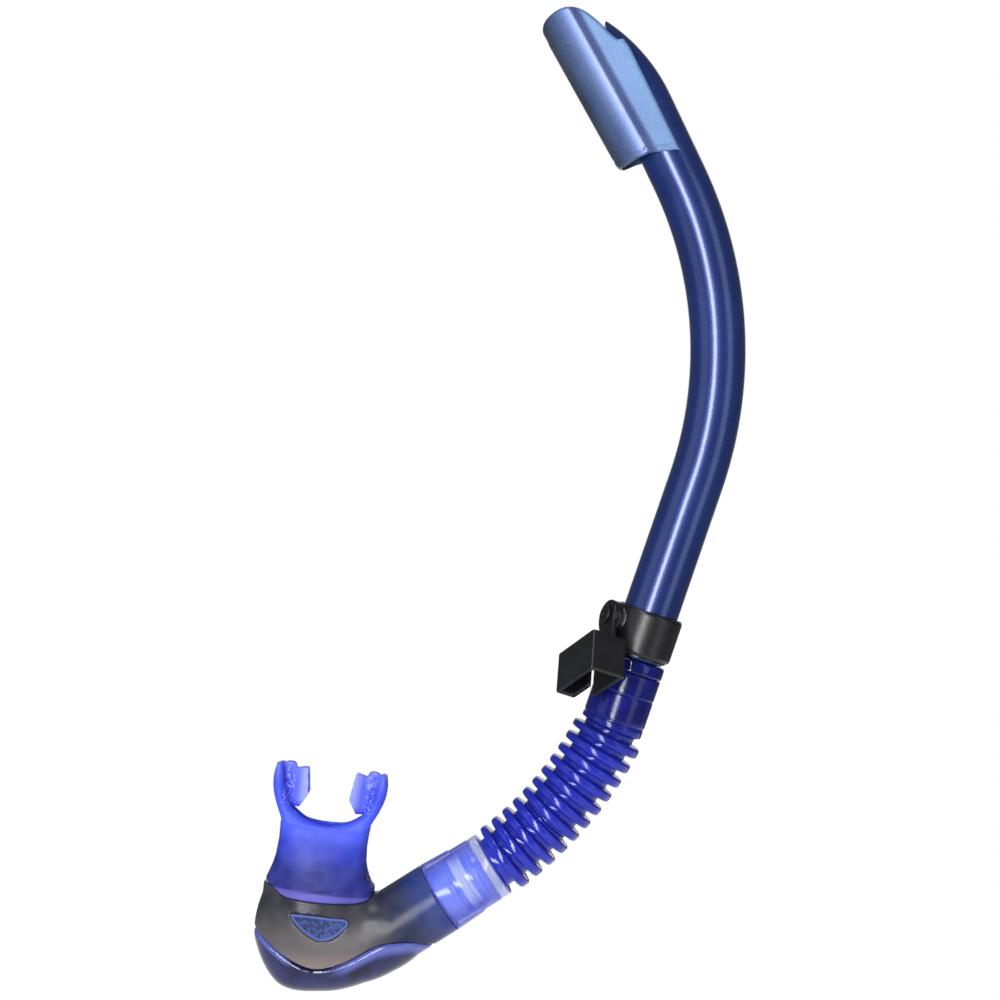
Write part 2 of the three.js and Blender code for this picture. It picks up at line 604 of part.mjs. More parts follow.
// ---------------------------------------------------------------- mouthpiece
// X to the right and Z up in the mouthpiece's own leaning frame, from the middle of its seat.
const mouthRight = vec(mouthUp.z, 0, -mouthUp.x);
const inMouth = new THREE.Matrix4().makeBasis(mouthRight, vec(0, 1, 0), mouthUp).setPosition(seatPoint);
const mirrorLeft = (points) => points.map(([x, z]) => [-x, z]).reverse();

function mouthpiece() {
  // [height, half width, half depth] of the neck's outside
  const outside = [[0.5, 26.2, 18.2], [3, 25.8, 17.8], [5.5, 24.6, 16.6], [9, 22.2, 14.6], [14, 20.6, 12.8],
    [22, 20.2, 11.6], [30, 20.4, 11]];
  const wall = MOUTHPIECE_WALL;
  const lining = [[UPSTAND_HEIGHT, 19.8, 12.4], ...outside.slice(4, -1).map(([h, a, b]) => [h, a - wall, b - wall]),
    [35, 17.8, 8.7]];
  const stack = (rows) => loft(rows.map(([h, a, b]) => ringAt(mouthPlace(h), a, b, 2.5)), false);
  const skirt = common(join(chamberSolid(-0.5, 1), stack(outside)), hemRegion(CLEARANCE));
  const socket = chamberSolid(UPSTAND_INSET - CLEARANCE, UPSTAND_HEIGHT + CLEARANCE);
  const neck = cut(skirt, socket, stack(lining));

  const outer = smooth([[20, 22], [20.4, 30.5], [23.4, 37.5], [25.3, 44], [25.9, 50.4], [25, 56]], 12);
  const inner = smooth([[23, 56.6], [21.5, 49.7], [19.7, 43], [17.5, 38], [14.9, 35.4], [9.5, 32], [0, 30.1]], 12);
  const half = [...outer, ...inner.slice(0, -1)];
  const shieldOutline = [...half, ...mirrorLeft(inner), ...mirrorLeft(outer)];
  const shield = standUp(slab(shieldOutline, LIP_DEPTH));
  const airwayRing = (h) => ringAt({ point: vec(0, 0, h), up: vec(0, 0, 1) }, 17.6, 8.6, 2.5);
  const airway = loft([airwayRing(20), airwayRing(37)], false);

  const tab = [
    [23, 41], [23.4, 47.6], [21.6, 53.4], [17, 55.6], [12.4, 53.4], [9.8, 47], [10.4, 40], [14, 35.4], [19.6, 35.6],
  ];
  const lug = [[12.8, 54.4], [10.8, 53.8], [8.8, 46], [9.6, 38], [12, 36.6], [11.4, 40], [11, 46]];
  const sides = [1, -1].flatMap((side) => {
    const facing = (points) => (side > 0 ? points : mirrorLeft(points));
    return [standUp(slab(facing(tab), BITE_TAB_THICKNESS)), standUp(slab(facing(lug), BITE_LUG_THICKNESS))];
  });
  const bite = join(cut(shield, airway), ...sides).applyMatrix4(inMouth);
  return join(neck, bite);
}

// ---------------------------------------------------------------- assembly
const pieces = [
  ['main_tube', mainTube, barrelBlue],
  ['splash_hood', splashHood, hoodBlue],
  ['splash_baffle', splashBaffle, hoodBlue],
  ['hose_coupler', hoseCoupler, clearBlue],
  ['keeper_liner', keeperLiner, satinBlack],
  ['keeper_collar', keeperCollar, satinBlack],
  ['pivot_pin', pivotPin, satinBlack],
  ['strap_clip', strapClip, satinBlack],
  ['hose_upper_cuff', hoseUpperCuff, siliconeBlue],
  ['hose_upper_ribs', () => bellows(...UPPER_RIBS), siliconeBlue],
  ['hose_middle_ribs', () => bellows(...MIDDLE_RIBS), siliconeBlue],
  ['hose_lower_ribs', () => bellows(...LOWER_RIBS), siliconeBlue],
  ['hose_lower_cuff', hoseLowerCuff, siliconeBlue],
  ['chamber_spigot', chamberSpigot, clearBlue],
  ['chamber_body', chamberBody, smoke],
  ['purge_seat', purgeSeat, smoke],
  ['purge_membrane', purgeMembrane, whiteSilicone],
  ['purge_cover', purgeCover, coverBlue],
  ['badge_front', () => badgeBlock(-1, 0), badgeBlue],
  ['badge_back', () => badgeBlock(1, 0), badgeBlue],
  ['mouthpiece', mouthpiece, mouthBlue],
];

// The origin is the middle of the clip's outer plate, on the inside, where the mask strap bears.
const strapFace = vec(CLIP_REACH - CLIP_PLATE, 0, -CLIP_DROP - CLIP_HEIGHT / 2).applyMatrix4(inClip);

const snorkel = new THREE.Group();
for (const [name, make, material] of pieces) {
  const mesh = new THREE.Mesh(make(), material);
  mesh.name = name;
  mesh.position.copy(strapFace).negate();
  snorkel.add(mesh);
}

export default snorkel;
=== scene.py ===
import functools
import json
import math

import bpy
import numpy as np
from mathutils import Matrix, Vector


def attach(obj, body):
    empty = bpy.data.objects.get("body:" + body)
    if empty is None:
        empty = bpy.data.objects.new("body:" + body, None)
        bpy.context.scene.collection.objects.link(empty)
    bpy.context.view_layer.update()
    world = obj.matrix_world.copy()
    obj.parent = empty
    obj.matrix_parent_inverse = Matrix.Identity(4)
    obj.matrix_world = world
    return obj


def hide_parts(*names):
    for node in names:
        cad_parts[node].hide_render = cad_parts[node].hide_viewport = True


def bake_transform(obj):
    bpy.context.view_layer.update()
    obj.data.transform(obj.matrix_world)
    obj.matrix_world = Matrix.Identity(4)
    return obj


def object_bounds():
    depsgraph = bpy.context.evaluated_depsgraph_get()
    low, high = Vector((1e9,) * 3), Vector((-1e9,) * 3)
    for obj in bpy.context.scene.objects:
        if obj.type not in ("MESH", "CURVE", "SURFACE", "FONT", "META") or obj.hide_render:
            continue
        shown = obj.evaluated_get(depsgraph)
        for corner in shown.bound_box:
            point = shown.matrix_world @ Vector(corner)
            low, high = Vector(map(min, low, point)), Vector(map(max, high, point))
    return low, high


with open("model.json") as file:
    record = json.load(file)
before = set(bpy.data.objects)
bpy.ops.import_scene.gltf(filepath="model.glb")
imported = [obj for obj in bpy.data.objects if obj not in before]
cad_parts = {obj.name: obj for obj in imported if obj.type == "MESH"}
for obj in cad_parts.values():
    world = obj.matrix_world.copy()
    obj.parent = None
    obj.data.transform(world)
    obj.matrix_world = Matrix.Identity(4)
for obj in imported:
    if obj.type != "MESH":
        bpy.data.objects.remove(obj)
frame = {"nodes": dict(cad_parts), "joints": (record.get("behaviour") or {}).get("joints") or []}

CAD_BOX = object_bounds()

# The snorkel's visual model. Lengths in this script are millimetres from the keeper's reference point, which
# lies on the barrel's axis, with X to the right, Y away from the viewer and Z up. Meshes are moved into the
# frame, in metres, when they are made.
MM = 0.001
JOINTS = {joint["name"]: joint for joint in frame["joints"]}
KEEPER = np.array(JOINTS["keeper_turn"]["pos_m"]) / MM

# ---------------- driving dimensions, as in the part
CLEARANCE = 0.3
BARREL_RADIUS = 12.75
BARREL_BORE = 10.5
BASE_LEAN = 19
STRAIGHT_LENGTH = 75.5
LONG_BEND_RADIUS = 185.5
TOP_LEAN = -25.5
TOP_STRAIGHT_LENGTH = 35.5
TIP_BEND_RADIUS = 70
TIP_LEAN = -58

KEEPER_RADIUS = 15.5
KEEPER_TOP = 12.4
KEEPER_BOTTOM = -10.2
LINER_WALL = 0.9

COUPLER_FLANGE_RADIUS = 14.6
COUPLER_FLANGE_TOP = 10.8
COUPLER_FLANGE_HEIGHT = 6
COUPLER_BORE = 9
NIPPLE_RADIUS = 12.3
BARREL_END = 38.5

CUFF_RADIUS = 14.5
RIB_RADIUS = 16.6
RIB_ROOT_RADIUS = 12
RIB_WIDTH = 4.4
RIB_PITCH = 7.2
RIB_COUNT = 11
HOSE_BORE = 10.3
FIRST_RIB = 49.5
RIBS_START_LEAN = 28.8
RIBS_END_LEAN = 52.4
CUFF_LEAN = 58
HOSE_END = 156.5
LAST_UPPER_RIB = 6           # the hose is two pieces, which meet in the groove after this rib

SPIGOT_RADIUS = 13.4
SPIGOT_BARB = 0.5
SPIGOT_TIP = 132
SPIGOT_BORE = 11.2

NECK_RADIUS = 17
CHAMBER_WALL = 2
CHAMBER_HALF_DEPTH = 17.5
CHAMBER_CORNER = 2
NECK_LENGTH = 22
SEAT_REACH = 53.5
CHAMBER_REACH = [52.6, 60.6, 63.2, 53.6, 44, 38.8, 36]
UPSTAND_INSET = 2.6
UPSTAND_HEIGHT = 5
SEAT_ANGLE = 182

MOUTHPIECE_LEAN = 7.6
MOUTHPIECE_WALL = 2.2
LIP_DEPTH = 22

HOOD_LEAN = -29.1
HOOD_HALF_WIDTH = 15.1
HOOD_FRONT_DEPTH = 17
HOOD_WALL = 2
HOOD_FOOT = np.array([-12.5, 0, 217])

HUB_RADIUS = 7.4
HUB_THICKNESS = 4.6
CLIP_PLATE = 2.2
CLIP_HEIGHT = 19.4
CLIP_HALF_WIDTH = 16
CLIP_REACH = 17.4
CLIP_DROP = 18.3
PIN_RADIUS = 2.4

BADGE_LINE = [
    (-159.9, -124.2), (-151.6, -125), (-142.6, -126.2), (-134.6, -127.3), (-134, -128.8), (-135.9, -131.4),
    (-139.6, -134.6), (-143.3, -136.4), (-147.1, -136.6), (-150.8, -135.1), (-154.6, -132.3), (-158, -128.8),
    (-160, -125.6),
]
BADGE_THICKNESS = 1.3
BADGE_FACE = CHAMBER_HALF_DEPTH + 0.6

# ---------------- centre lines


def unit(vector):
    return np.asarray(vector, float) / np.linalg.norm(vector)


def leaning(degrees):
    """The upward direction in the XZ plane at a lean from vertical."""
    return np.array([math.sin(math.radians(degrees)), 0.0, math.cos(math.radians(degrees))])


def right_of(up):
    """The direction in the XZ plane that is square to another, to its right."""
    return np.array([up[2], 0.0, -up[0]])


class Route:
    """A centre line in the XZ plane, made of pieces of even curvature, each (length, lean at its end)."""

    def __init__(self, lean, direction, pieces):
        self.start_lean = math.radians(lean)
        self.direction = direction
        self.pieces = [(length, math.radians(end)) for length, end in pieces]

    def at(self, s):
        """The point and the upward direction at a distance along the route."""
        x = z = 0.0
        lean = self.start_lean
        left = s
        for number, (length, end) in enumerate(self.pieces):
            last = number == len(self.pieces) - 1
            part = left if last else min(left, length)
            curvature = (end - lean) / length
            now = lean + curvature * part
            if abs(curvature) < 1e-9:
                x += self.direction * part * math.sin(lean)
                z += self.direction * part * math.cos(lean)
            else:
                x += self.direction * (math.cos(lean) - math.cos(now)) / curvature
                z += self.direction * (math.sin(now) - math.sin(lean)) / curvature
            lean = now
            left -= part
            if left <= 1e-9:
                break
        return np.array([x, 0.0, z]), np.array([math.sin(lean), 0.0, math.cos(lean)])

    def point(self, s):
        return self.at(s)[0]


LONG_BEND = LONG_BEND_RADIUS * math.radians(BASE_LEAN - TOP_LEAN)
TIP_BEND = TIP_BEND_RADIUS * math.radians(TOP_LEAN - TIP_LEAN)
BARREL_TOP = STRAIGHT_LENGTH + LONG_BEND + TOP_STRAIGHT_LENGTH + TIP_BEND
RIBS_LENGTH = (RIB_COUNT - 1) * RIB_PITCH
barrel_route = Route(BASE_LEAN, 1, [
    (STRAIGHT_LENGTH, BASE_LEAN), (LONG_BEND, TOP_LEAN), (TOP_STRAIGHT_LENGTH, TOP_LEAN),
    (TIP_BEND, TIP_LEAN),
])
hose_route = Route(BASE_LEAN, -1, [
    (BARREL_END, BASE_LEAN), (FIRST_RIB - BARREL_END, RIBS_START_LEAN), (RIBS_LENGTH, RIBS_END_LEAN),
    (RIB_PITCH, CUFF_LEAN), (HOSE_END, CUFF_LEAN),
])

# ---------------- meshes
SHARP_ANGLE = math.radians(50)


def mesh_object(name, points, faces):
    """A smooth mesh object from points in this script's millimetres."""
    mesh = bpy.data.meshes.new(name)
    placed = (np.asarray(points, float) + KEEPER) * MM
    mesh.from_pydata(placed.tolist(), [], faces)
    mesh.polygons.foreach_set("use_smooth", [True] * len(mesh.polygons))
    mesh.update()
    mesh.set_sharp_from_angle(angle=SHARP_ANGLE)
    piece = bpy.data.objects.new(name, mesh)
    bpy.context.scene.collection.objects.link(piece)
    return piece


def rounded(corners, size, steps=4):
    """A closed outline with each corner replaced by a curve that starts at most size before it."""
    corners = [np.asarray(corner, float) for corner in corners]
    sizes = size if isinstance(size, (list, tuple)) else [size] * len(corners)
    points = []
    for i, here in enumerate(corners):
        sides = [corners[i - 1] - here, corners[(i + 1) % len(corners)] - here]
        reach = min([sizes[i]] + [0.48 * np.linalg.norm(side) for side in sides])
        before, after = [here + unit(side) * reach for side in sides]
        for t in np.linspace(0, 1, steps + 1):
            points.append((1 - t) ** 2 * before + 2 * t * (1 - t) * here + t ** 2 * after)
    return points


def sweep(name, route, section, sides=72):
    """A hollow round piece along a route. Its section is a closed outline of (distance, radius) points."""
    turns = np.linspace(0, 2 * math.pi, sides, endpoint=False)
    points = []
    for s, radius in section:
        centre, up = route(s)
        ring = centre + radius * (np.outer(np.cos(turns), right_of(up)) + np.outer(np.sin(turns), [0, 1, 0]))
        points.append(ring)
    rings = len(section)
    faces = []
    for i in range(rings):
        j = (i + 1) % rings
        for k in range(sides):
            m = (k + 1) % sides
            faces.append((i * sides + k, i * sides + m, j * sides + m, j * sides + k))
    piece = mesh_object(name, np.concatenate(points), faces)
    face_outwards(piece)
    return piece


def face_outwards(piece):
    """Turns a closed mesh's faces outwards."""
    mesh = piece.data
    mesh.calc_loop_triangles()
    points = np.array([vertex.co for vertex in mesh.vertices])
    corners = np.array([triangle.vertices for triangle in mesh.loop_triangles])
    a, b, c = points[corners[:, 0]], points[corners[:, 1]], points[corners[:, 2]]
    if np.einsum("ij,ij->i", a, np.cross(b, c)).sum() < 0:
        mesh.flip_normals()


# ---------------- distance fields
# A shape is a function of x, y and z arrays: negative inside it, and about the distance to its surface.


def both(a, b, r=0.0):
    """Where two shapes overlap, with the edge between them rounded."""
    if r == 0:
        return np.maximum(a, b)
    return np.minimum(np.maximum(a, b), -r) + np.hypot(np.maximum(a + r, 0), np.maximum(b + r, 0))


def either(a, b, r=0.0):
    """Two shapes together, with a fillet between them."""
    return -both(-a, -b, r)


def without(a, b, r=0.0):
    return both(a, -b, r)


def polygon(points):
    """The distance to a closed outline in a plane."""
    starts = np.asarray(points, float)
    ends = np.roll(starts, -1, axis=0)

    def distance(x, y):
        nearest = np.full(np.shape(x), np.inf)
        inside = np.zeros(np.shape(x), bool)
        for (ax, ay), (bx, by) in zip(starts, ends):
            ex, ey = bx - ax, by - ay
            px, py = x - ax, y - ay
            t = np.clip((px * ex + py * ey) / (ex * ex + ey * ey + 1e-12), 0, 1)
            nearest = np.minimum(nearest, (px - t * ex) ** 2 + (py - t * ey) ** 2)
            if ey != 0:
                inside ^= ((ay > y) != (by > y)) & (px < py * ex / ey)
        return np.where(inside, -1, 1) * np.sqrt(nearest)

    return distance


def oval(x, y, a, b, power):
    """The distance from the outside of an oval, measured towards its middle."""
    rim = ((np.abs(x) / a) ** power + (np.abs(y) / b) ** power) ** (1 / power)
    rim = np.maximum(rim, 1e-6)
    return np.hypot(x, y) * (1 - 1 / rim) + np.where(rim < 0.02, -np.minimum(a, b), 0)


def smooth(points, count):
    """Points of a smooth curve through a few given points, evenly spaced between them."""
    p = np.asarray(points, float)
    p = np.vstack([2 * p[0] - p[1], p, 2 * p[-1] - p[-2]])
    gaps = np.maximum(np.linalg.norm(np.diff(p, axis=0), axis=1) ** 0.5, 1e-6)
    knots = np.concatenate([[0], np.cumsum(gaps)])
    spans = len(p) - 3
    curve = []
    for u in np.linspace(0, spans, count + 1):
        i = min(int(u), spans - 1)
        t0, t1, t2, t3 = knots[i:i + 4]
        t = t1 + (t2 - t1) * (u - i)
        a1 = ((t1 - t) * p[i] + (t - t0) * p[i + 1]) / (t1 - t0)
        a2 = ((t2 - t) * p[i + 1] + (t - t1) * p[i + 2]) / (t2 - t1)
        a3 = ((t3 - t) * p[i + 2] + (t - t2) * p[i + 3]) / (t3 - t2)
        b1 = ((t2 - t) * a1 + (t - t0) * a2) / (t2 - t0)
        b2 = ((t3 - t) * a2 + (t - t1) * a3) / (t3 - t1)
        curve.append(((t2 - t) * b1 + (t - t1) * b2) / (t2 - t1))
    return curve


BLOCK = 6                    # grid steps in each of the blocks that are tried first


def field_on_grid(shape, low, step, counts):
    """The shape's values on a grid. Only the blocks near its surface are worked out point by point."""
    blocks = (counts - 1) // BLOCK
    middles = [low[axis] + (np.arange(blocks[axis]) + 0.5) * BLOCK * step for axis in range(3)]
    coarse = shape(*np.meshgrid(*middles, indexing="ij"))
    signs = np.where(coarse < 0, -1.0, 1.0)
    for axis in range(3):
        signs = np.repeat(signs, BLOCK, axis=axis)
    field = np.pad(signs, [(0, 1)] * 3, mode="edge")
    wanted = np.zeros(field.shape, bool)
    for i, j, k in np.argwhere(np.abs(coarse) < 1.5 * BLOCK * step) * BLOCK:
        wanted[i:i + BLOCK + 1, j:j + BLOCK + 1, k:k + BLOCK + 1] = True
    at = np.argwhere(wanted) * step + low
    field[wanted] = shape(at[:, 0], at[:, 1], at[:, 2])
    return field


def settle(shape, points, rounds=3, reach=0.02):
    """Moves points onto a shape's surface."""
    for _ in range(rounds):
        x, y, z = points.T
        value = shape(x, y, z)
        slope = np.stack([
            shape(x + reach, y, z) - shape(x - reach, y, z),
            shape(x, y + reach, z) - shape(x, y - reach, z),
            shape(x, y, z + reach) - shape(x, y, z - reach),
        ], axis=1) / (2 * reach)
        steepness = np.maximum((slope ** 2).sum(axis=1), 0.2)
        points = points - slope * (np.clip(value, -0.4, 0.4) / steepness)[:, None]
    return points


def skin(name, shape, low, high, step):
    """A mesh over a shape's surface, between two corners of a box."""
    low = np.asarray(low, float)
    size = np.asarray(high, float) - low
    counts = np.ceil(size / (step * BLOCK)).astype(int) * BLOCK + 1
    field = field_on_grid(shape, low, step, counts)
    inside = field < 0
    corners = sum(
        inside[i:i + counts[0] - 1, j:j + counts[1] - 1, k:k + counts[2] - 1].astype(np.int8)
        for i in (0, 1) for j in (0, 1) for k in (0, 1)
    )
    cells = np.argwhere((corners > 0) & (corners < 8))
    number = np.full(counts - 1, -1)
    number[tuple(cells.T)] = np.arange(len(cells))
    total = np.zeros((len(cells), 3))
    crossings = np.zeros(len(cells))
    faces = []
    for axis in range(3):
        along, second, third = (np.eye(3, dtype=int)[(axis + step_on) % 3] for step_on in range(3))
        for corner in (0 * along, second, third, second + third):
            start = cells + corner
            a = field[tuple(start.T)]
            b = field[tuple((start + along).T)]
            crosses = (a < 0) != (b < 0)
            share = np.where(crosses, a / np.where(crosses, a - b, 1), 0)
            total += np.where(crosses[:, None], start + share[:, None] * along, 0)
            crossings += crosses
        first, other = (
            inside[tuple(slice(a, n - 1 + a) if i == axis else slice(1, n - 1) for i, n in enumerate(counts))]
            for a in (0, 1)
        )
        edges = np.argwhere(first != other) + (second + third)
        outward = first[tuple((edges - second - third).T)]
        quads = np.stack([
            number[tuple((edges - second - third).T)], number[tuple((edges - third).T)],
            number[tuple(edges.T)], number[tuple((edges - second).T)],
        ], axis=1)
        faces.append(np.where(outward[:, None], quads, quads[:, ::-1]))
    points = settle(shape, total / crossings[:, None] * step + low)
    return mesh_object(name, points, np.concatenate(faces).tolist())


def round_shape(radius, low, high, across, along, r=0.0):
    """A cylinder, from the distance off its axis and the distance along it."""
    return both(across - radius, np.maximum(low - along, along - high), r)


class Basis:
    """Local coordinates: an origin and three directions."""

    def __init__(self, origin, x, y, z):
        self.origin = np.asarray(origin, float)
        self.axes = np.array([x, y, z], float)

    def local(self, x, y, z):
        dx, dy, dz = x - self.origin[0], y - self.origin[1], z - self.origin[2]
        return [dx * a[0] + dy * a[1] + dz * a[2] for a in self.axes]

    def at(self, x, y, z):
        return self.origin + np.array([x, y, z]) @ self.axes

    def box(self, xs, ys, zs, margin):
        """The lowest and highest corners of the box around a box in these coordinates, with a margin."""
        corners = np.array([self.at(x, y, z) for x in xs for y in ys for z in zs])
        return corners.min(axis=0) - margin, corners.max(axis=0) + margin


def joint_axis(name):
    return unit(JOINTS[name]["axis"])


def turn(vector, axis, degrees):
    """A vector turned about an axis."""
    angle = math.radians(degrees)
    return (vector * math.cos(angle) + np.cross(axis, vector) * math.sin(angle)
            + axis * np.dot(axis, vector) * (1 - math.cos(angle)))


Y = np.array([0.0, 1.0, 0.0])
barrel_up = leaning(BASE_LEAN)
barrel_across = right_of(barrel_up)
in_keeper = Basis((0, 0, 0), barrel_across, Y, barrel_up)

hood_up = leaning(HOOD_LEAN)
hood_back = right_of(hood_up)
in_hood = Basis(HOOD_FOOT, hood_back, Y, hood_up)

# ---------------- barrel
TUBE_EDGE = 0.5              # rounding of the barrel's lower rim
TIP_TRIM = 1.6               # the barrel's end, back from the end of its route
SLANT = [(27.3, 60), (13, 24), (-30, 24), (-30, 90), (39, 90)]     # what its open end loses, beside the hood


def on_barrel(s):
    return hose_route.at(-s) if s < 0 else barrel_route.at(s)


def main_tube():
    bends = list(np.linspace(STRAIGHT_LENGTH, BARREL_TOP - TIP_TRIM, 72))
    foot = CLEARANCE - COUPLER_FLANGE_TOP
    outer = [(s, BARREL_RADIUS) for s in [foot + TUBE_EDGE, 0, STRAIGHT_LENGTH / 2] + bends]
    inner = [(s, BARREL_BORE) for s, _ in outer[::-1]]
    start = [(foot, BARREL_BORE), (foot, BARREL_RADIUS - TUBE_EDGE)]
    tube = sweep("barrel_tube", on_barrel, start + outer + inner, 96)
    # the open end is cut on a slant, facing the front of the hood
    points = [in_hood.at(x, y, z) for y in (-30, 30) for x, z in SLANT]
    count = len(SLANT)
    walls = [(i, (i + 1) % count, (i + 1) % count + count, i + count) for i in range(count)]
    cutter = mesh_object("slant", points, [tuple(range(count))[::-1], tuple(range(count, 2 * count))] + walls)
    face_outwards(cutter)
    slant = tube.modifiers.new("slant", "BOOLEAN")
    slant.object = cutter
    slant.operation = "DIFFERENCE"
    slant.solver = "EXACT"
    rim = tube.modifiers.new("rim", "BEVEL")
    rim.width = 0.35 * MM
    rim.segments = 2
    rim.angle_limit = SHARP_ANGLE
    bpy.context.view_layer.update()
    cut = bpy.data.meshes.new_from_object(tube.evaluated_get(bpy.context.evaluated_depsgraph_get()))
    tube.modifiers.clear()
    tube.data = cut
    cut.set_sharp_from_angle(angle=SHARP_ANGLE)
    bpy.data.objects.remove(cutter)
    return tube


def hose_coupler():
    top = COUPLER_FLANGE_TOP
    foot = top + COUPLER_FLANGE_HEIGHT
    bore = BARREL_BORE - CLEARANCE
    section = rounded([
        (-8, COUPLER_BORE), (-8, bore), (top, bore), (top, COUPLER_FLANGE_RADIUS),
        (foot, COUPLER_FLANGE_RADIUS), (foot, NIPPLE_RADIUS), (27, NIPPLE_RADIUS),
        (27.6, NIPPLE_RADIUS + 0.5), (30, NIPPLE_RADIUS), (35, NIPPLE_RADIUS), (35.6, NIPPLE_RADIUS + 0.5),
        (BARREL_END, NIPPLE_RADIUS - 0.4), (BARREL_END, COUPLER_BORE),
    ], [0.4, 0.4, 0.2, 1.3, 1.3, 0.3, 0.3, 0.3, 0.3, 0.3, 0.3, 0.5, 0.5])
    return sweep("coupler_clear", lambda s: on_barrel(-s) if s < 0 else hose_route.at(s), section)


# ---------------- splash hood
TIP_START = STRAIGHT_LENGTH + LONG_BEND + TOP_STRAIGHT_LENGTH
tip_point, tip_up = barrel_route.at(TIP_START)
in_tip = Basis(tip_point, right_of(tip_up), Y, tip_up)


def off_barrel(x, y, z):
    """The distance from the barrel's centre line, near its upper end."""
    u, v, w = in_tip.local(x, y, z)
    bent = np.hypot(u + TIP_BEND_RADIUS, np.maximum(w, 0)) - TIP_BEND_RADIUS
    past = TIP_BEND_RADIUS * np.arctan2(w, u + TIP_BEND_RADIUS) - TIP_BEND - 8
    return np.maximum(np.hypot(np.where(w > 0, bent, u), v), past + BARREL_RADIUS + CLEARANCE)


def hood_column(x, y, inset):
    front = HOOD_FRONT_DEPTH
    half = HOOD_HALF_WIDTH - inset
    curved = oval(x - front, y, front - inset, half, 2)
    return np.where(x < front, curved, np.abs(y) - half)


HOOD_FOOT_LINE = [(-1, -0.5), (0.6, -2.6), (3, -3.6), (9, -3.6), (15, -4.6), (27.6, -10)]
HOOD_CROWN = smooth([
    (26.4, 49.4), (25, 53.5), (23.8, 58.2), (22.3, 62.3), (20.5, 66.1), (18.2, 69.2), (14.9, 71.5),
    (10.9, 72.8), (6.2, 72.8), (2.2, 71.8), (0.2, 69.2), (0, 65),
], 28)
HOOD_NOTCH = [(30.4, 42), (29.8, 46.9), (27.2, 47.9)]
WING_INSET = 1.0             # of the hood's flat wings behind its round front
WING_START = 14
WING_STEP = 4.5              # the length over which the wings step in
LIP_LINE = 2.6               # the fine line above the hood's lower edge
LIP_LINE_DEPTH = 0.3
LIP_LINE_WIDTH = 0.45


def hood_shape():
    outline = polygon(HOOD_FOOT_LINE + HOOD_NOTCH + list(HOOD_CROWN) + [(-1, 62)])
    foot = polygon(HOOD_FOOT_LINE + [(60, -10), (60, -60), (-20, -60), (-20, -0.5)])
    inner_crown = [(x + (HOOD_WALL if x < 9 else 0), z - HOOD_WALL) for x, z in HOOD_CROWN]
    inner = polygon([(-5, -30), (60, -30), (60, 47)] + inner_crown + [(-5, 60)])

    def shape(x, y, z):
        u, v, w = in_hood.local(x, y, z)
        back = np.clip((u - WING_START) / WING_STEP, 0, 1)
        wing = WING_INSET * back * back * (3 - 2 * back)
        line = LIP_LINE_DEPTH * np.exp(-((foot(u, w) - LIP_LINE) / LIP_LINE_WIDTH) ** 2)
        outside = both(hood_column(u, v, 0) + wing + line, outline(u, w), 1.3)
        hollow = both(hood_column(u, v, HOOD_WALL), inner(u, w), 0.6)
        hood = without(outside, hollow, 0.5)
        return without(hood, off_barrel(x, y, z) - BARREL_RADIUS - CLEARANCE, 0.3)

    return shape


def splash_hood():
    low, high = in_hood.box((-2, 33), (0,), (-12, 76), np.array([0, HOOD_HALF_WIDTH + 1, 0]))
    return skin("hood_shell", hood_shape(), low, high, 0.55)


# ---------------- strap keeper
LINER_RADIUS = BARREL_RADIUS + CLEARANCE + LINER_WALL
HUB_INNER = -HUB_THICKNESS / 2
HUB_OUTER = HUB_THICKNESS / 2
pivot_axis = joint_axis("clip_swivel")
PIVOT_REACH = 18.6
PIVOT_RISE = 4.4
BOSS_RADIUS = 6
PIN_FOOT = HUB_INNER - 1.4
PIN_HEAD_RADIUS = 4.4
PIN_RECESS_RADIUS = 1.7
CLIP_SWIVEL = 33             # at rest, from the barrel's axis
CLIP_TONGUE = 7.4
clip_up = turn(barrel_up, pivot_axis, CLIP_SWIVEL)
clip_side = np.cross(clip_up, pivot_axis)
in_clip = Basis(barrel_up * PIVOT_RISE + pivot_axis * PIVOT_REACH, pivot_axis, clip_side, clip_up)


def collar_shape(x, y, z):
    u, v, w = in_keeper.local(x, y, z)
    off = np.hypot(u, v)
    height = np.abs(w - (KEEPER_TOP + KEEPER_BOTTOM) / 2) - (KEEPER_TOP - KEEPER_BOTTOM) / 2
    ring = both(off - KEEPER_RADIUS, height, 0.4)
    bevel = np.where(w < 0, 2.6, 1.3)
    ring = both(ring, (off - KEEPER_RADIUS + height + bevel) * math.sqrt(0.5), 0.6)
    a, b, c = in_clip.local(x, y, z)
    turned = np.hypot(b, c)
    boss = round_shape(BOSS_RADIUS, LINER_RADIUS + 0.8 - PIVOT_REACH, HUB_INNER - CLEARANCE, turned, a, 0.4)
    collar = without(either(ring, boss, 1.6), off - LINER_RADIUS - CLEARANCE, 0.3)
    hole = round_shape(PIN_RADIUS + CLEARANCE, PIN_FOOT - CLEARANCE, HUB_INNER + 1, turned, a)
    return without(collar, hole)


def keeper_collar():
    reach = KEEPER_RADIUS + 4
    return skin("collar_moulded", collar_shape, (-reach - 4, -reach - 2, -reach), (reach, reach, reach), 0.42)


def pivot_pin():
    def shape(x, y, z):
        a, b, c = in_clip.local(x, y, z)
        off = np.hypot(b, c)
        shank = round_shape(PIN_RADIUS, PIN_FOOT, HUB_OUTER + 0.6, off, a, 0.2)
        head = round_shape(PIN_HEAD_RADIUS, HUB_OUTER + CLEARANCE, HUB_OUTER + 1.5, off, a, 0.5)
        recess = round_shape(PIN_RECESS_RADIUS, HUB_OUTER + 0.8, HUB_OUTER + 3, off, a, 0.1)
        return without(either(shank, head, 0.1), recess, 0.2)

    middle = in_clip.at(0, 0, 0)
    return skin("pivot_rivet", shape, middle - 6, middle + 6, 0.2)


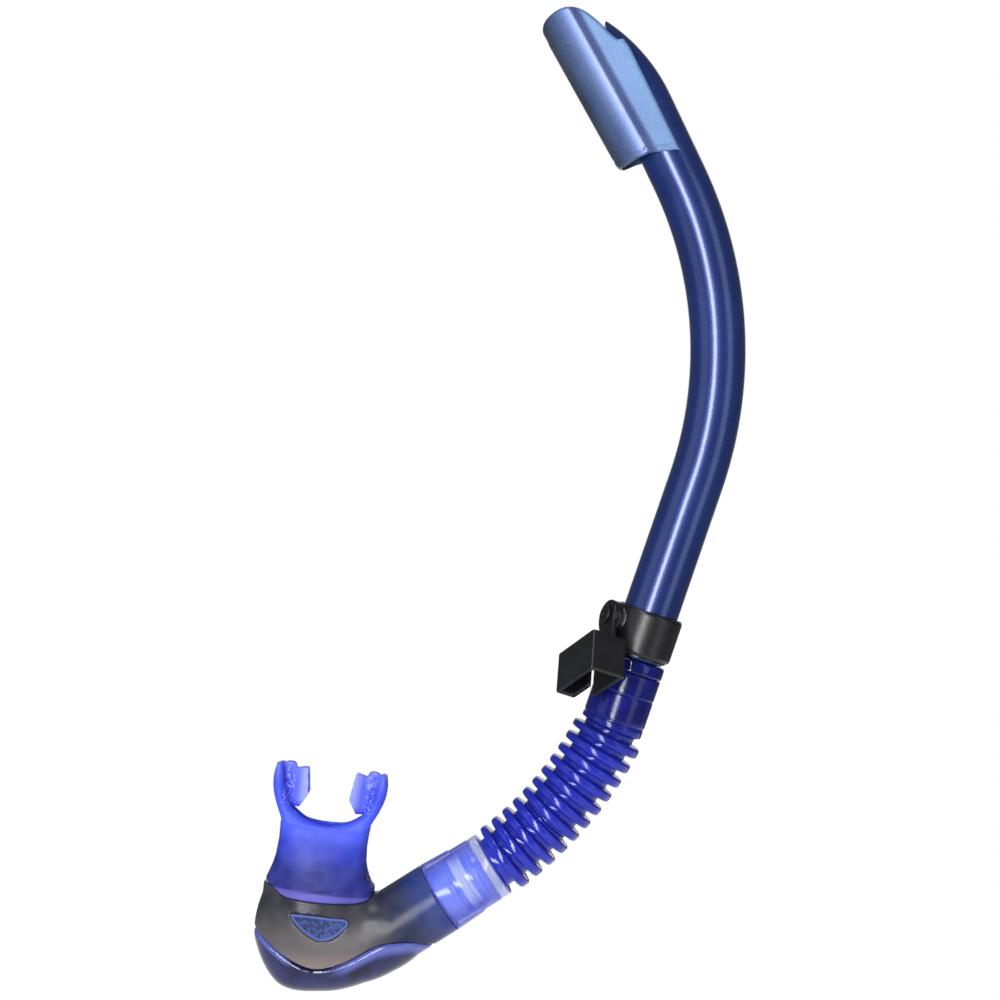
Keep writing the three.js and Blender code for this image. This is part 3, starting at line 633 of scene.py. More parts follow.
def strap_clip():
    t = CLIP_PLATE
    w = CLIP_HALF_WIDTH
    face = HUB_OUTER - t
    inner_reach = CLIP_REACH - t
    tip = CLIP_TONGUE + t
    hook = polygon(rounded([
        (face, w), (CLIP_REACH, w), (CLIP_REACH, -w), (CLIP_TONGUE, -w), (CLIP_TONGUE, -1),
        (CLIP_TONGUE + 0.9, 0), (tip, -1), (tip, t - w), (inner_reach, t - w), (inner_reach, w - t),
        (face + t, w - t), (face + t, -9), (face, -9),
    ], [1.2, 1.6, 1.6, 1.2, 0.6, 0.6, 0.6, 0.5, 0.8, 0.8, 0.8, 0.6, 0.6]))

    def shape(x, y, z):
        a, b, c = in_clip.local(x, y, z)
        body = both(hook(a, b), np.abs(c + CLIP_DROP + CLIP_HEIGHT / 2) - CLIP_HEIGHT / 2, 0.6)
        hub = round_shape(HUB_RADIUS, HUB_INNER, HUB_OUTER, np.hypot(b, c), a, 0.6)
        stem = both(
            both(np.abs(a - face - t / 2) - t / 2, np.abs(b) - HUB_RADIUS + 1, 0.4),
            np.abs(c + CLIP_DROP / 2 + 0.5) - CLIP_DROP / 2 - 0.5,
        )
        clip = either(either(stem, hub, 1.0), body, 1.0)
        return without(clip, np.hypot(b, c) - PIN_RADIUS - CLEARANCE, 0.2)

    low, high = in_clip.box((HUB_INNER, CLIP_REACH), (-w, w), (-CLIP_DROP - CLIP_HEIGHT, HUB_RADIUS), 1.5)
    return skin("clip_moulded", shape, low, high, 0.5)


# ---------------- hose
CUFF_BORE = NIPPLE_RADIUS + 0.5 + CLEARANCE
SPLIT = FIRST_RIB + (LAST_UPPER_RIB + 0.5) * RIB_PITCH
SPLIT_GAP = 0.12             # half of the gap between the two lengths
FLEX_STEP = 2.4              # the longest side of a face along the hose, short enough to bend smoothly


def ribs(first, last):
    """The hose's outer side over ribs first to last: tall, with round tips and narrow round-bottomed gaps."""
    points, sizes = [], []
    half = RIB_WIDTH / 2
    for number in range(first, last + 1):
        middle = FIRST_RIB + number * RIB_PITCH
        points += [
            (middle - half, RIB_ROOT_RADIUS), (middle - half + 0.2, RIB_RADIUS),
            (middle + half - 0.2, RIB_RADIUS), (middle + half, RIB_ROOT_RADIUS),
        ]
        sizes += [0.9, 1.3, 1.3, 0.9]
    return points, sizes


def hose_piece(name, first, last, before, after, bore):
    """A length of the hose: the outline before its ribs, ribs first to last, the outline after, the bore."""
    points, sizes = ribs(first, last)
    corners = before + points + after
    outer = rounded(corners + bore, [0.5] * len(before) + sizes + [0.5] * (len(after) + len(bore)))
    fine = []
    for i, point in enumerate(outer):
        following = outer[(i + 1) % len(outer)]
        steps = max(1, round(np.linalg.norm(following - point) / FLEX_STEP))
        fine += [point + (following - point) * k / steps for k in range(steps)]
    return sweep(name, hose_route.at, fine, 96)


def hose_upper():
    top = COUPLER_FLANGE_TOP + COUPLER_FLANGE_HEIGHT + CLEARANCE
    before = [
        (top, CUFF_BORE), (top, CUFF_RADIUS), (26.6, CUFF_RADIUS), (27, CUFF_RADIUS - 0.3),
        (27.6, CUFF_RADIUS - 0.3), (28, CUFF_RADIUS), (39.5, CUFF_RADIUS), (39.9, CUFF_RADIUS - 0.35),
        (40.7, CUFF_RADIUS - 0.35), (41.1, CUFF_RADIUS), (43.7, CUFF_RADIUS), (44.7, RIB_ROOT_RADIUS),
    ]
    end = SPLIT - SPLIT_GAP
    after = [(end, RIB_ROOT_RADIUS)]
    bore = [(end, HOSE_BORE), (44.5, HOSE_BORE), (BARREL_END + 1.5, CUFF_BORE)]
    return hose_piece("hose_upper", 0, LAST_UPPER_RIB, before, after, bore)


def hose_lower():
    start = SPLIT + SPLIT_GAP
    before = [(start, HOSE_BORE), (start, RIB_ROOT_RADIUS)]
    lower_bore = SPIGOT_RADIUS + SPIGOT_BARB + CLEARANCE
    r = CUFF_RADIUS
    after = [
        (127, RIB_ROOT_RADIUS), (127.8, r + 1.1), (131.6, r + 1.1), (132, r + 0.8), (132.6, r + 0.8),
        (133, r + 1.2), (142, r + 1.3), (142.6, r + 1.8), (HOSE_END, NECK_RADIUS),
    ]
    bore = [(HOSE_END, lower_bore), (SPIGOT_TIP - 0.5, lower_bore), (SPIGOT_TIP - 3, HOSE_BORE)]
    return hose_piece("hose_lower", LAST_UPPER_RIB + 1, RIB_COUNT - 1, before, after, bore)


def chamber_spigot():
    r = SPIGOT_RADIUS
    barbs = [(s + ds, r + dr) for s in (135, 141, 147) for ds, dr in ((0, 0), (0.6, SPIGOT_BARB), (3, 0))]
    end = HOSE_END + 7
    section = rounded([
        (SPIGOT_TIP, SPIGOT_BORE), (SPIGOT_TIP, r - 0.6), *barbs, (HOSE_END, r),
        (HOSE_END + CLEARANCE, r + 0.9), (end, r + 0.9), (end, SPIGOT_BORE),
    ], 0.3)
    return sweep("spigot_clear", hose_route.at, section)


# ---------------- chamber
neck_end, neck_up = hose_route.at(HOSE_END + CLEARANCE)
neck_across = np.array([-neck_up[2], 0.0, neck_up[0]])
inside_corner = neck_end - neck_up * NECK_LENGTH + neck_across * (NECK_RADIUS + CHAMBER_CORNER)
NECK_ANGLE = 360 - CUFF_LEAN
SWING = NECK_ANGLE - SEAT_ANGLE


def catmull_rom(values, t):
    """Values at even spacings joined by the centripetal curve that the part uses, at t from 0 to 1."""
    points = [(i, value) for i, value in enumerate(values)]
    count = 24 * (len(values) - 1)
    curve = np.array(smooth(points, count))
    return np.interp(t * count, np.arange(count + 1), curve[:, 1])


seat_out = np.array([math.cos(math.radians(SEAT_ANGLE)), 0, math.sin(math.radians(SEAT_ANGLE))])
seat_up = right_of(seat_out)
SEAT_HALF = (SEAT_REACH - CHAMBER_CORNER) / 2
seat_point = inside_corner + seat_out * (CHAMBER_CORNER + SEAT_HALF)
mouth_up = leaning(MOUTHPIECE_LEAN)
mouth_right = right_of(mouth_up)
in_mouth = Basis(seat_point, mouth_right, Y, mouth_up)
SEAT_DRIFT = np.dot(mouth_up, seat_out) / np.dot(mouth_up, seat_up)
FAR = 4.0


def chamber_shape(x, y, z, inset):
    """The chamber's outside at an inset: a number, or a function of the swing from seat, 0, to neck, 1."""
    dx, dz = x - inside_corner[0], z - inside_corner[2]
    angle = np.degrees(np.arctan2(dz, dx)) % 360
    t = np.clip((angle - SEAT_ANGLE) / SWING, 0, 1)
    reach = np.hypot(dx, dz)
    above = dx * seat_up[0] + dz * seat_up[2]
    out = dx * seat_out[0] + dz * seat_out[2]
    along = dx * neck_up[0] + dz * neck_up[2]
    down = -(dx * neck_across[0] + dz * neck_across[2])
    over_seat = (above > 0) & (out > 0)
    up_neck = (along > 0) & (down > 0)
    t = np.where(over_seat, 0, np.where(up_neck, 1, t))
    half = (catmull_rom(CHAMBER_REACH, t) - CHAMBER_CORNER) / 2
    depth = CHAMBER_HALF_DEPTH - (CHAMBER_HALF_DEPTH - NECK_RADIUS) * t
    u = np.where(over_seat, out - SEAT_DRIFT * above, np.where(up_neck, down, reach)) - CHAMBER_CORNER - half
    inward = inset(t) if callable(inset) else inset
    surface = oval(u, y, half - inward, depth - inward, 2.5 - 0.5 * t)
    elsewhere = (angle < SEAT_ANGLE) & ~over_seat & ~up_neck
    return np.where(elsewhere, FAR + inward, surface)


def inner_inset(t):
    return CHAMBER_WALL + UPSTAND_INSET * np.clip(3 - 6 * t, 0, 1)


def above_seat(x, z):
    return (x - inside_corner[0]) * seat_up[0] + (z - inside_corner[2]) * seat_up[2]


def up_neck(x, z):
    return (x - inside_corner[0]) * neck_up[0] + (z - inside_corner[2]) * neck_up[2]


HEM_LINE = smooth([
    (-190, -100), (-176, -109), (-169.4, -112.6), (-163.7, -116.6), (-157, -118.2), (-142.6, -120),
    (-130, -120.6), (-125.4, -119.4), (-123.4, -117), (-118, -108),
], 30)
COVER_WAVE = smooth([
    (-188, -124), (-176, -133.6), (-165, -143), (-150, -149.8), (-136, -146.6), (-121, -139), (-108, -137.6),
    (-96, -140.4), (-86, -146),
], 32)
hem_outline = polygon(HEM_LINE + [(-118, -60), (-190, -60)])
cover_outline = polygon(COVER_WAVE + [(-86, -185), (-188, -185)])
badge_line = polygon(smooth(BADGE_LINE + BADGE_LINE[:1], 60)[:-1])


def badge_outline(grow):
    return lambda x, z: badge_line(x, z) - grow


def shell_shape(x, y, z):
    outer = chamber_shape(x, y, z, 0)
    inner = chamber_shape(x, y, z, inner_inset)
    shell = without(outer, inner)
    rise = np.where(x > inside_corner[0], -FAR, above_seat(x, z) - UPSTAND_HEIGHT)
    ends = np.maximum(rise, up_neck(x, z) - NECK_LENGTH)
    return both(shell, ends, 0.3)


COVER_GAP = 0.15             # of the body and the cover, each from the wave between them
CHAMBER_LOW = (-182, -18.5, -172)
CHAMBER_HIGH = (-81, 18.5, -101)


def chamber_body():
    pocket = badge_outline(CLEARANCE)

    def shape(x, y, z):
        hem = both(hem_outline(x, z), -chamber_shape(x, y, z, UPSTAND_INSET))
        body = without(shell_shape(x, y, z), hem, 0.9)
        body = without(body, cover_outline(x, z) - COVER_GAP, 0.35)
        floor = BADGE_FACE - BADGE_THICKNESS - CLEARANCE
        return without(body, both(pocket(x, z), floor - np.abs(y)), 0.25)

    return skin("chamber_shell", shape, CHAMBER_LOW, CHAMBER_HIGH, 0.6)


COVER_HIGH = (*CHAMBER_HIGH[:2], -134)
COVER_EDGE = 2.6             # rounding of the cover's outer edge, under the wave
SLOT_CENTRE = (-143, -155.5)
SLOT_SPACING = 12
SLOT_HALF_SIZE = (3.5, 1)
SLOT_FRONT = 8               # the drain slots go through the back of the cover only, behind this depth


def purge_cover():
    def shape(x, y, z):
        wave = cover_outline(x, z) + COVER_GAP
        cover = both(shell_shape(x, y, z), both(chamber_shape(x, y, z, 0), wave, COVER_EDGE))
        height = np.abs(z - SLOT_CENTRE[1]) - SLOT_HALF_SIZE[1]
        for offset in (-SLOT_SPACING, 0, SLOT_SPACING):
            width = np.abs(x - SLOT_CENTRE[0] - offset) - SLOT_HALF_SIZE[0]
            cover = without(cover, both(both(width, height, 0.8), SLOT_FRONT - y), 0.2)
        return cover

    return skin("cover_moulded", shape, CHAMBER_LOW, COVER_HIGH, 0.6)


def badge(name, side):
    outline = badge_outline(0)
    inner = BADGE_FACE - BADGE_THICKNESS

    def shape(x, y, z):
        edge = outline(x, z)
        face = BADGE_FACE - 0.35 * np.clip((-edge - 1.0) / 0.5, 0, 1)
        return both(both(edge, side * y - face, 0.3), inner - side * y, 0.2)

    low, high = sorted((side * (inner - 1), side * (BADGE_FACE + 1)))
    return skin(name, shape, (-163, low, -140), (-131, high, -123), 0.33)


# ---------------- mouthpiece
# [height, half width, half depth] of the neck's outside, up the mouthpiece's axis
MOUTH_ROWS = np.array([
    (-3, 26.4, 18.4), (0.5, 26, 18.1), (2.3, 25.4, 17.6), (4.6, 24.4, 16.7), (7, 23.3, 15.7),
    (11, 21.8, 14.1), (15, 20.8, 12.9), (22, 20.2, 11.6), (30, 20.4, 11),
])
SHIELD_OUTER = smooth([(18.4, 27), (20.5, 32), (23.2, 37.8), (25.3, 44), (25.9, 50.4), (25, 56)], 24)
SHIELD_INNER = smooth([
    (23, 56.6), (21.5, 49.7), (19.7, 43), (17.5, 38), (14.9, 35.4), (9.5, 32), (0, 30.1),
], 24)
BITE_TAB = [
    (13.8, 35), (17.5, 36.5), (21, 43), (23.2, 50), (23.6, 55.2), (20.4, 57.3), (17, 56.9), (16.4, 54.8),
    (15.2, 45),
]
LUG = [(17.2, 54.4), (11, 55.4), (9.4, 43.6), (14.4, 34.6), (16.4, 36)]
LUG_ROOT = 16.4              # where the inner lugs start to splay, across from the mouthpiece's middle
LUG_SPLAY = 0.8              # their rise for each millimetre across
NUB_LINE = [(16.6, 38.4), (18.6, 43), (19.8, 48), (20.1, 54.6)]
NUBS = 8                     # steps along the line, with a nub on each side of it at each
NUB_LANES = (-0.9, 1.1)
NUB_RADIUS = 0.85
TAB_HALF_THICKNESS = 2
AIRWAY_TOP = 35              # where the neck's bore ends, under the shield
RIM_ROUNDING = 2.6
RIM_FALL = 0.08              # of the shield's rim across its depth


def mouth_height(x, z):
    """Height up the mouthpiece's axis and distance across it. The lowest sections lie flat on the seat."""
    dx, dz = x - seat_point[0], z - seat_point[2]
    lean = np.full(np.shape(x), math.radians(MOUTHPIECE_LEAN))
    full = math.radians(MOUTHPIECE_LEAN)
    for _ in range(5):
        along = dx * np.sin(lean) + dz * np.cos(lean)
        height = along / np.cos(full - lean)
        lean = full * np.clip(height / 20, 0, 1)
    across = (dx - height * mouth_up[0]) * np.cos(lean) - (dz - height * mouth_up[2]) * np.sin(lean)
    return height, across


def mouthpiece():
    rows = MOUTH_ROWS
    wall = MOUTHPIECE_WALL
    lining = np.array([(UPSTAND_HEIGHT, 19.8, 12.4)] + [(h, a - wall, b - wall) for h, a, b in rows[6:-1]]
                      + [(AIRWAY_TOP, 17.8, 8.7)])
    shield_line = polygon(list(SHIELD_OUTER) + list(SHIELD_INNER) + [(-6, 30.2), (-6, 28)])
    tab_line = polygon(rounded(BITE_TAB, 1.5))
    lug_line = polygon(rounded(LUG, 1.2))
    nub_spots = [(a + lane, c) for a, c in smooth(NUB_LINE, NUBS) for lane in NUB_LANES]

    def shape(x, y, z):
        height, across = mouth_height(x, z)
        half = np.interp(height, rows[:, 0], rows[:, 1])
        depth = np.interp(height, rows[:, 0], rows[:, 2])
        squareness = np.interp(height, (12, 30), (2.5, 5))
        ends = np.maximum(rows[0, 0] - height, height - rows[-1, 0])
        stack = both(oval(across, y, half, depth, squareness), ends)
        swell = both(chamber_shape(x, y, z, -0.5), above_seat(x, z) - 1, 0.9)
        skirt = both(either(stack, swell, 1.5), hem_outline(x, z - CLEARANCE), 0.7)
        upstand_top = above_seat(x, z) - UPSTAND_HEIGHT
        socket = both(chamber_shape(x, y, z, UPSTAND_INSET - CLEARANCE), upstand_top - CLEARANCE)
        half = np.interp(height, lining[:, 0], lining[:, 1])
        depth = np.interp(height, lining[:, 0], lining[:, 2])
        ends = np.maximum(UPSTAND_HEIGHT - height, height - AIRWAY_TOP)
        bore = both(oval(across, y, half, depth, 2.5), ends)
        neck = without(without(skirt, socket, 0.3), bore)
        u, v, w = in_mouth.local(x, y, z)
        u = np.abs(u)
        shield = both(shield_line(u, w + RIM_FALL * v), np.abs(v) - LIP_DEPTH / 2, RIM_ROUNDING)
        airway = both(oval(u, v, 17.6, 8.6, 2.5), np.maximum(20 - w, w - 37))
        tab = both(tab_line(u, w), np.abs(v) - TAB_HALF_THICKNESS, 0.8)
        splay = np.abs(v) - np.clip(LUG_ROOT - u, 0, 9) * LUG_SPLAY
        lug = both(lug_line(u, w), (np.abs(splay) - 1.2) * 0.78, 0.4)
        nubs = np.full(np.shape(x), 9.0)
        for a, c in nub_spots:
            off = np.sqrt((u - a) ** 2 + (w - c) ** 2 + (np.abs(v) - 1.9) ** 2)
            nubs = np.minimum(nubs, off - NUB_RADIUS)
        bite = either(either(tab, lug, 0.8), nubs, 0.3)
        lips = without(either(either(neck, shield, 1.4), bite, 0.8), airway, 0.6)
        return without(lips, both(bore, height - 33))

    return skin("mouthpiece_moulded", shape, (-181, -19, -124), (-102, 19, -44), 0.62)


# ---------------- the pieces on their bodies
tube = main_tube()
coupler = hose_coupler()
hood = splash_hood()
collar = keeper_collar()
pin = pivot_pin()
clip = strap_clip()
upper = hose_upper()
lower = hose_lower()
spigot = chamber_spigot()
body = chamber_body()
cover = purge_cover()
badge_front = badge("badge_front_face", -1)
badge_back = badge("badge_back_face", 1)
mouth = mouthpiece()

# the lower hose bends, so its points keep their own distance up from the hose's lower end, in millimetres
CUFF_SPAN = "cuff_span"
spans = lower.data.attributes.new(CUFF_SPAN, "FLOAT", "POINT")
for vertex in lower.data.vertices:
    above_end = np.array(vertex.co) / MM - KEEPER - hose_route.point(HOSE_END)
    spans.data[vertex.index].value = float(np.dot(above_end, neck_up))

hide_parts("main_tube")
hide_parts("hose_coupler")
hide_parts("splash_hood")
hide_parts("keeper_collar")
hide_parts("pivot_pin")
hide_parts("strap_clip")
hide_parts("hose_upper_cuff", "hose_upper_ribs", "hose_middle_ribs")
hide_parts("hose_lower_ribs", "hose_lower_cuff")
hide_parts("chamber_spigot")
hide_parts("chamber_body")
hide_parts("purge_cover")
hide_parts("badge_front")
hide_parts("badge_back")
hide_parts("mouthpiece")

for piece in (tube, coupler, hood):
    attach(piece, "barrel")
for piece in (collar, pin):
    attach(piece, "keeper")
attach(clip, "clip")
for piece in (spigot, body, cover, badge_front, badge_back, mouth):
    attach(piece, "chamber")


def framed(point):
    return tuple(float(value) for value in (np.asarray(point) + KEEPER) * MM)


# points along each length of hose are worked out but not kept, and each length's placing is baked into its
# mesh
framed(hose_route.point(48))
framed(hose_route.point(75))
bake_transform(upper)
framed(hose_route.point(96))
framed(hose_route.point(124))
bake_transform(lower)

# ---------------- materials


def colour(red, green, blue):
    """A linear colour from one given as it looks on screen, 0 to 255."""
    return tuple((value / 255 / 12.92 if value <= 10 else ((value / 255 + 0.055) / 1.055) ** 2.4)
                 for value in (red, green, blue)) + (1.0,)


class Shader:
    """The nodes of a material, or of another owner with its own output, built from the surface backwards."""

    def __init__(self, name, owner=None, output="ShaderNodeOutputMaterial"):
        self.owner = owner or bpy.data.materials.new(name)
        self.owner.use_nodes = True
        self.tree = self.owner.node_tree
        self.tree.nodes.clear()
        self.output = self.node(output)

    def node(self, kind, inputs=(), **settings):
        """A node, its settings, and its inputs by place or name, each set to a value or linked."""
        made = self.tree.nodes.new(kind)
        for name, value in settings.items():
            setattr(made, name, value)
        for key, value in inputs.items() if isinstance(inputs, dict) else enumerate(inputs):
            if isinstance(value, bpy.types.NodeSocket):
                self.tree.links.new(value, made.inputs[key])
            else:
                made.inputs[key].default_value = value
        return made

    @functools.cached_property
    def place(self):
        """Where a point is, in metres."""
        return self.node("ShaderNodeTexCoord").outputs["Object"]

    def noise(self, size, detail=2.0, roughness=0.5):
        """Noise whose features are about a size, in metres."""
        inputs = {"Vector": self.place, "Scale": 1 / size, "Detail": detail, "Roughness": roughness}
        return self.node("ShaderNodeTexNoise", inputs).outputs["Fac"]

    def span(self, value, low, high, to_low=0.0, to_high=1.0, kind="SMOOTHSTEP"):
        """A value from low to high, brought onto another range and held at its ends."""
        inputs = {"Value": value, "From Min": low, "From Max": high, "To Min": to_low, "To Max": to_high}
        return self.node("ShaderNodeMapRange", inputs, interpolation_type=kind).outputs["Result"]

    def math(self, operation, *values):
        return self.node("ShaderNodeMath", values, operation=operation).outputs[0]

    def mix(self, share, a, b):
        """Two colours mixed. The node has sockets for other kinds of value before those for colours."""
        return self.node("ShaderNodeMix", {0: share, 6: a, 7: b}, data_type="RGBA").outputs[2]

    def bump(self, height, depth, strength=1.0):
        inputs = {"Height": height, "Distance": depth, "Strength": strength}
        return self.node("ShaderNodeBump", inputs).outputs["Normal"]

    def along(self, direction, start):
        """The distance along a direction from a point in this script's millimetres."""
        inputs = (self.place, tuple(float(value) / MM for value in direction))
        made = self.node("ShaderNodeVectorMath", inputs, operation="DOT_PRODUCT")
        offset = float(np.dot(np.asarray(start) + KEEPER, direction))
        return self.math("SUBTRACT", made.outputs["Value"], offset)

    def stored(self, name):
        """A number stored at each point of the piece, which goes with it when it bends."""
        return self.node("ShaderNodeAttribute", attribute_name=name).outputs["Fac"]

    def ramp(self, value, stops, interpolation="EASE"):
        """Colours, as they look on screen, or plain numbers, at given values of an input."""
        low, high = stops[0][0], stops[-1][0]
        inputs = {"Fac": self.span(value, low, high, kind="LINEAR")}
        made = self.node("ShaderNodeValToRGB", inputs)
        made.color_ramp.interpolation = interpolation
        while len(made.color_ramp.elements) < len(stops):
            made.color_ramp.elements.new(0.5)
        for element, (at, tone) in zip(made.color_ramp.elements, stops):
            element.position = (at - low) / (high - low)
            element.color = colour(*tone) if isinstance(tone, tuple) else (tone, tone, tone, 1.0)
        return made.outputs["Color"]

    def principled(self, **values):
        inputs = {name.replace("_", " "): value for name, value in values.items()}
        return self.node("ShaderNodeBsdfPrincipled", inputs).outputs[0]

    def blend(self, share, a, b):
        return self.node("ShaderNodeMixShader", (share, a, b)).outputs[0]

    def lit(self, kind, tint, **values):
        return self.node(kind, {"Color": tint, **values}).outputs[0]

    def edge(self, blend):
        """Rises from the middle of a rounded shape to its edges."""
        return self.node("ShaderNodeLayerWeight", {"Blend": blend}).outputs["Facing"]

    def worked_out(self, value):
        """A value, or what a function of this shader works out for it."""
        return value(self) if callable(value) else value

    def finish(self, surface):
        self.tree.links.new(surface, self.output.inputs["Surface"])
        return self.owner


def metallic_paint(name, dark, light, roughness, metallic, coat):
    """Satin lacquer with a fine metallic flake.

    dark and light are colours, or functions of the shader that work them out over the piece."""
    s = Shader(name)
    flake = s.noise(0.0005, 3, 0.7)
    cloud = s.noise(0.03)
    tone = s.math("ADD", s.span(flake, 0.3, 0.7, 0, 0.7), s.span(cloud, 0.3, 0.7, 0, 0.3))
    skin_bump = s.bump(s.noise(0.0012, 3), 0.00002, 0.5)
    dark, light = s.worked_out(dark), s.worked_out(light)
    surface = s.principled(
        Base_Color=s.mix(tone, dark, light), Metallic=metallic,
        Roughness=s.span(flake, 0.2, 0.8, roughness - 0.04, roughness + 0.05),
        Coat_Weight=coat, Coat_Roughness=0.14, Normal=skin_bump,
    )
    return s.finish(surface)


def satin_plastic(name, dark, light, roughness):
    """Moulded plastic with a faint spark-eroded grain."""
    s = Shader(name)
    grain = s.noise(0.0006, 4, 0.6)
    cloud = s.noise(0.012)
    surface = s.principled(
        Base_Color=s.mix(s.span(cloud, 0.3, 0.7), dark, light),
        Roughness=s.span(grain, 0.3, 0.7, roughness - 0.06, roughness + 0.08),
        Normal=s.bump(grain, 0.00003, 0.6),
    )
    return s.finish(surface)


def clear_moulding(name, tint, base, roughness, density, glow=0.0, specular=0.5):
    """Tinted clear plastic or silicone: see-through face on, denser towards its edges.

    tint, base and density are values, or functions of the shader that work them out over the piece."""
    s = Shader(name)
    tint, base, density = s.worked_out(tint), s.worked_out(base), s.worked_out(density)
    cloud = s.span(s.noise(0.009, 2), 0.3, 0.7, 0.0, 0.16)
    tone = s.mix(cloud, base, tint)
    surface = s.principled(
        Base_Color=tone, Roughness=s.span(s.noise(0.004), 0.3, 0.7, roughness - 0.03, roughness + 0.04),
        Specular_IOR_Level=specular, Normal=s.bump(s.noise(0.0015, 3), 0.000006, 0.5),
    )
    if glow:
        surface = s.blend(glow, surface, s.lit("ShaderNodeBsdfTranslucent", tone))
    rise = s.span(s.edge(0.5), 0.1, 0.9, 0.0, 1.0)
    share = s.math("ADD", density, s.math("MULTIPLY", rise, s.math("SUBTRACT", 1.0, density)))
    return s.finish(s.blend(share, s.lit("ShaderNodeBsdfTransparent", tint), surface))


def smoke_tone(s):
    """Warm grey over the chamber, lighter low down, and slate towards the neck."""
    height = s.along((0, 0, 1), (0, 0, -150))
    warm = s.ramp(height, [(0, (130, 117, 112)), (12, (88, 84, 86)), (31, (46, 46, 54))])
    up_the_neck = s.along(neck_up, inside_corner)
    neck = s.ramp(up_the_neck, [(-12, (34, 36, 46)), (4, (32, 40, 70)), (20, (44, 60, 122))])
    return s.mix(s.span(s.along((1, 0, 0), (-132, 0, 0)), 0.0, 24.0), warm, neck)


STUD_LANE = 18.6             # the middle of the studded strip on each bite wing, across from the middle


def mouth_tone(s):
    """Paler at the hem over the chamber, deep above it, brighter to the lip, palest on the bite lugs."""
    height = s.along(mouth_up, seat_point)
    tone = s.ramp(height, [
        (-4.5, (112, 104, 196)), (0.5, (104, 98, 190)), (1.5, (46, 48, 134)), (9, (46, 52, 142)),
        (20, (54, 68, 198)), (30, (78, 100, 244)), (46, (72, 88, 232)), (58, (116, 132, 250)),
    ])
    across = s.math("ABSOLUTE", s.along(mouth_right, seat_point))
    inward = s.span(across, 11.0, 17.0, 1.0, 0.0)
    lugs = s.math("MULTIPLY", inward, s.span(height, 37.0, 41.0))
    tone = s.mix(lugs, tone, colour(186, 198, 255))
    lane = s.math("ABSOLUTE", s.math("SUBTRACT", across, STUD_LANE))
    studs = s.math("MULTIPLY", s.span(lane, 1.2, 2.6, 1.0, 0.0), s.span(height, 37.0, 40.0))
    studs = s.math("MULTIPLY", studs, s.span(s.noise(0.0011, 0.0), 0.52, 0.6))
    return s.mix(studs, tone, colour(150, 166, 255))


def hood_painted_light_tone(s):
    """Painted light over the hood: painted shade at the round front's far edge and in the crease before the
    wings, a painted highlight along the front's crest, and paler flat wings standing in for the light they
    catch.
    """
    return s.ramp(s.along(hood_back, HOOD_FOOT), [
        (0, (22, 32, 58)), (5, (46, 66, 116)), (11.5, (74, 98, 154)), (14.2, (34, 52, 112)),
        (16.4, (40, 60, 120)), (19, (88, 120, 168)), (28, (92, 126, 174)),
    ])


# a paler copy of the hood's painted shade and highlight, for the lighter flake of its lacquer
def hood_flake_over_painted_light(s):
    return s.mix(0.16, hood_painted_light_tone(s), colour(190, 214, 250))


WAVE_LOW = -150              # just under the lowest point of the cover's wave
WAVE_RISE = 26


def cover_painted_highlight_tone(s):
    """Navy, with a painted lavender highlight where the wall stands up to the light under the two raised ends
    of its wave.
    """
    across = s.along((1, 0, 0), (0, 0, 0))
    stops = [(float(x), (float(z) - WAVE_LOW) / WAVE_RISE) for x, z in COVER_WAVE[::2]]
    line = s.math("MULTIPLY", s.ramp(across, stops, "LINEAR"), float(WAVE_RISE))
    below = s.math("SUBTRACT", line, s.along((0, 0, 1), (0, 0, WAVE_LOW)))
    # masks of the painted highlight under the wave's raised left and right ends
    left = s.math("MULTIPLY", s.span(across, -165.0, -159.0, 1.0, 0.0), s.span(below, 2.2, 4.6, 1.0, 0.0))
    right = s.math("MULTIPLY", s.span(across, -146.0, -132.0), s.span(below, 3.0, 7.0, 1.0, 0.0))
    share = s.math("MULTIPLY", s.math("ADD", left, right), 0.72)
    return s.mix(share, colour(14, 18, 58), colour(104, 114, 196))


def badge_finish():
    """Metallic blue with a fine moulded ripple inside a paler plain rim."""
    s = Shader("badge_metal")
    ripple = s.noise(0.0016, 1.0, 0.4)
    lines = s.span(ripple, 0.45, 0.55)
    proud = s.span(s.math("ABSOLUTE", s.along((0, 1, 0), (0, 0, 0))), BADGE_FACE - 0.3, BADGE_FACE - 0.1)
    face = s.mix(lines, colour(22, 34, 82), colour(44, 62, 118))
    surface = s.principled(
        Base_Color=s.mix(proud, face, colour(66, 80, 142)),
        Metallic=0.15, Roughness=0.5, Specular_IOR_Level=0.25,
        Normal=s.bump(s.math("MULTIPLY", lines, s.math("SUBTRACT", 1.0, proud)), 0.0001, 0.6),
    )
    return s.finish(surface)


def cuff_span(s):
    """Millimetres up the hose from its lower end."""
    return s.along(neck_up, hose_route.point(HOSE_END))


CUFF_LENGTH = 29
PERIWINKLE = (112, 130, 226)
MILKY = (186, 194, 238)
NEAR_WHITE = (250, 251, 255)
# the spigot's bands, in millimetres up from the hose's lower end
BANDS = [(-8, PERIWINKLE), (11.5, MILKY), (17, PERIWINKLE), (26, MILKY)]


def hose_tone(s):
    """Deeper over the upper cuff, which has the coupler inside it."""
    return s.ramp(s.along(barrel_up, (0, 0, 0)), [
        (-58, (36, 46, 170)), (-44, (28, 36, 136)), (-38, (17, 23, 96)), (0, (15, 20, 90)),
    ])


def cuff_tint(s):
    stops = [(0, NEAR_WHITE), (CUFF_LENGTH - 1, NEAR_WHITE), (CUFF_LENGTH + 1, (56, 70, 236))]
    return s.ramp(s.stored(CUFF_SPAN), stops)


def cuff_tone(s):
    return s.ramp(s.stored(CUFF_SPAN), [
        (0, (58, 72, 206)), (24, (70, 84, 210)), (25.5, MILKY), (28, MILKY), (29.5, (44, 56, 186)),
        (36, (34, 44, 166)),
    ])


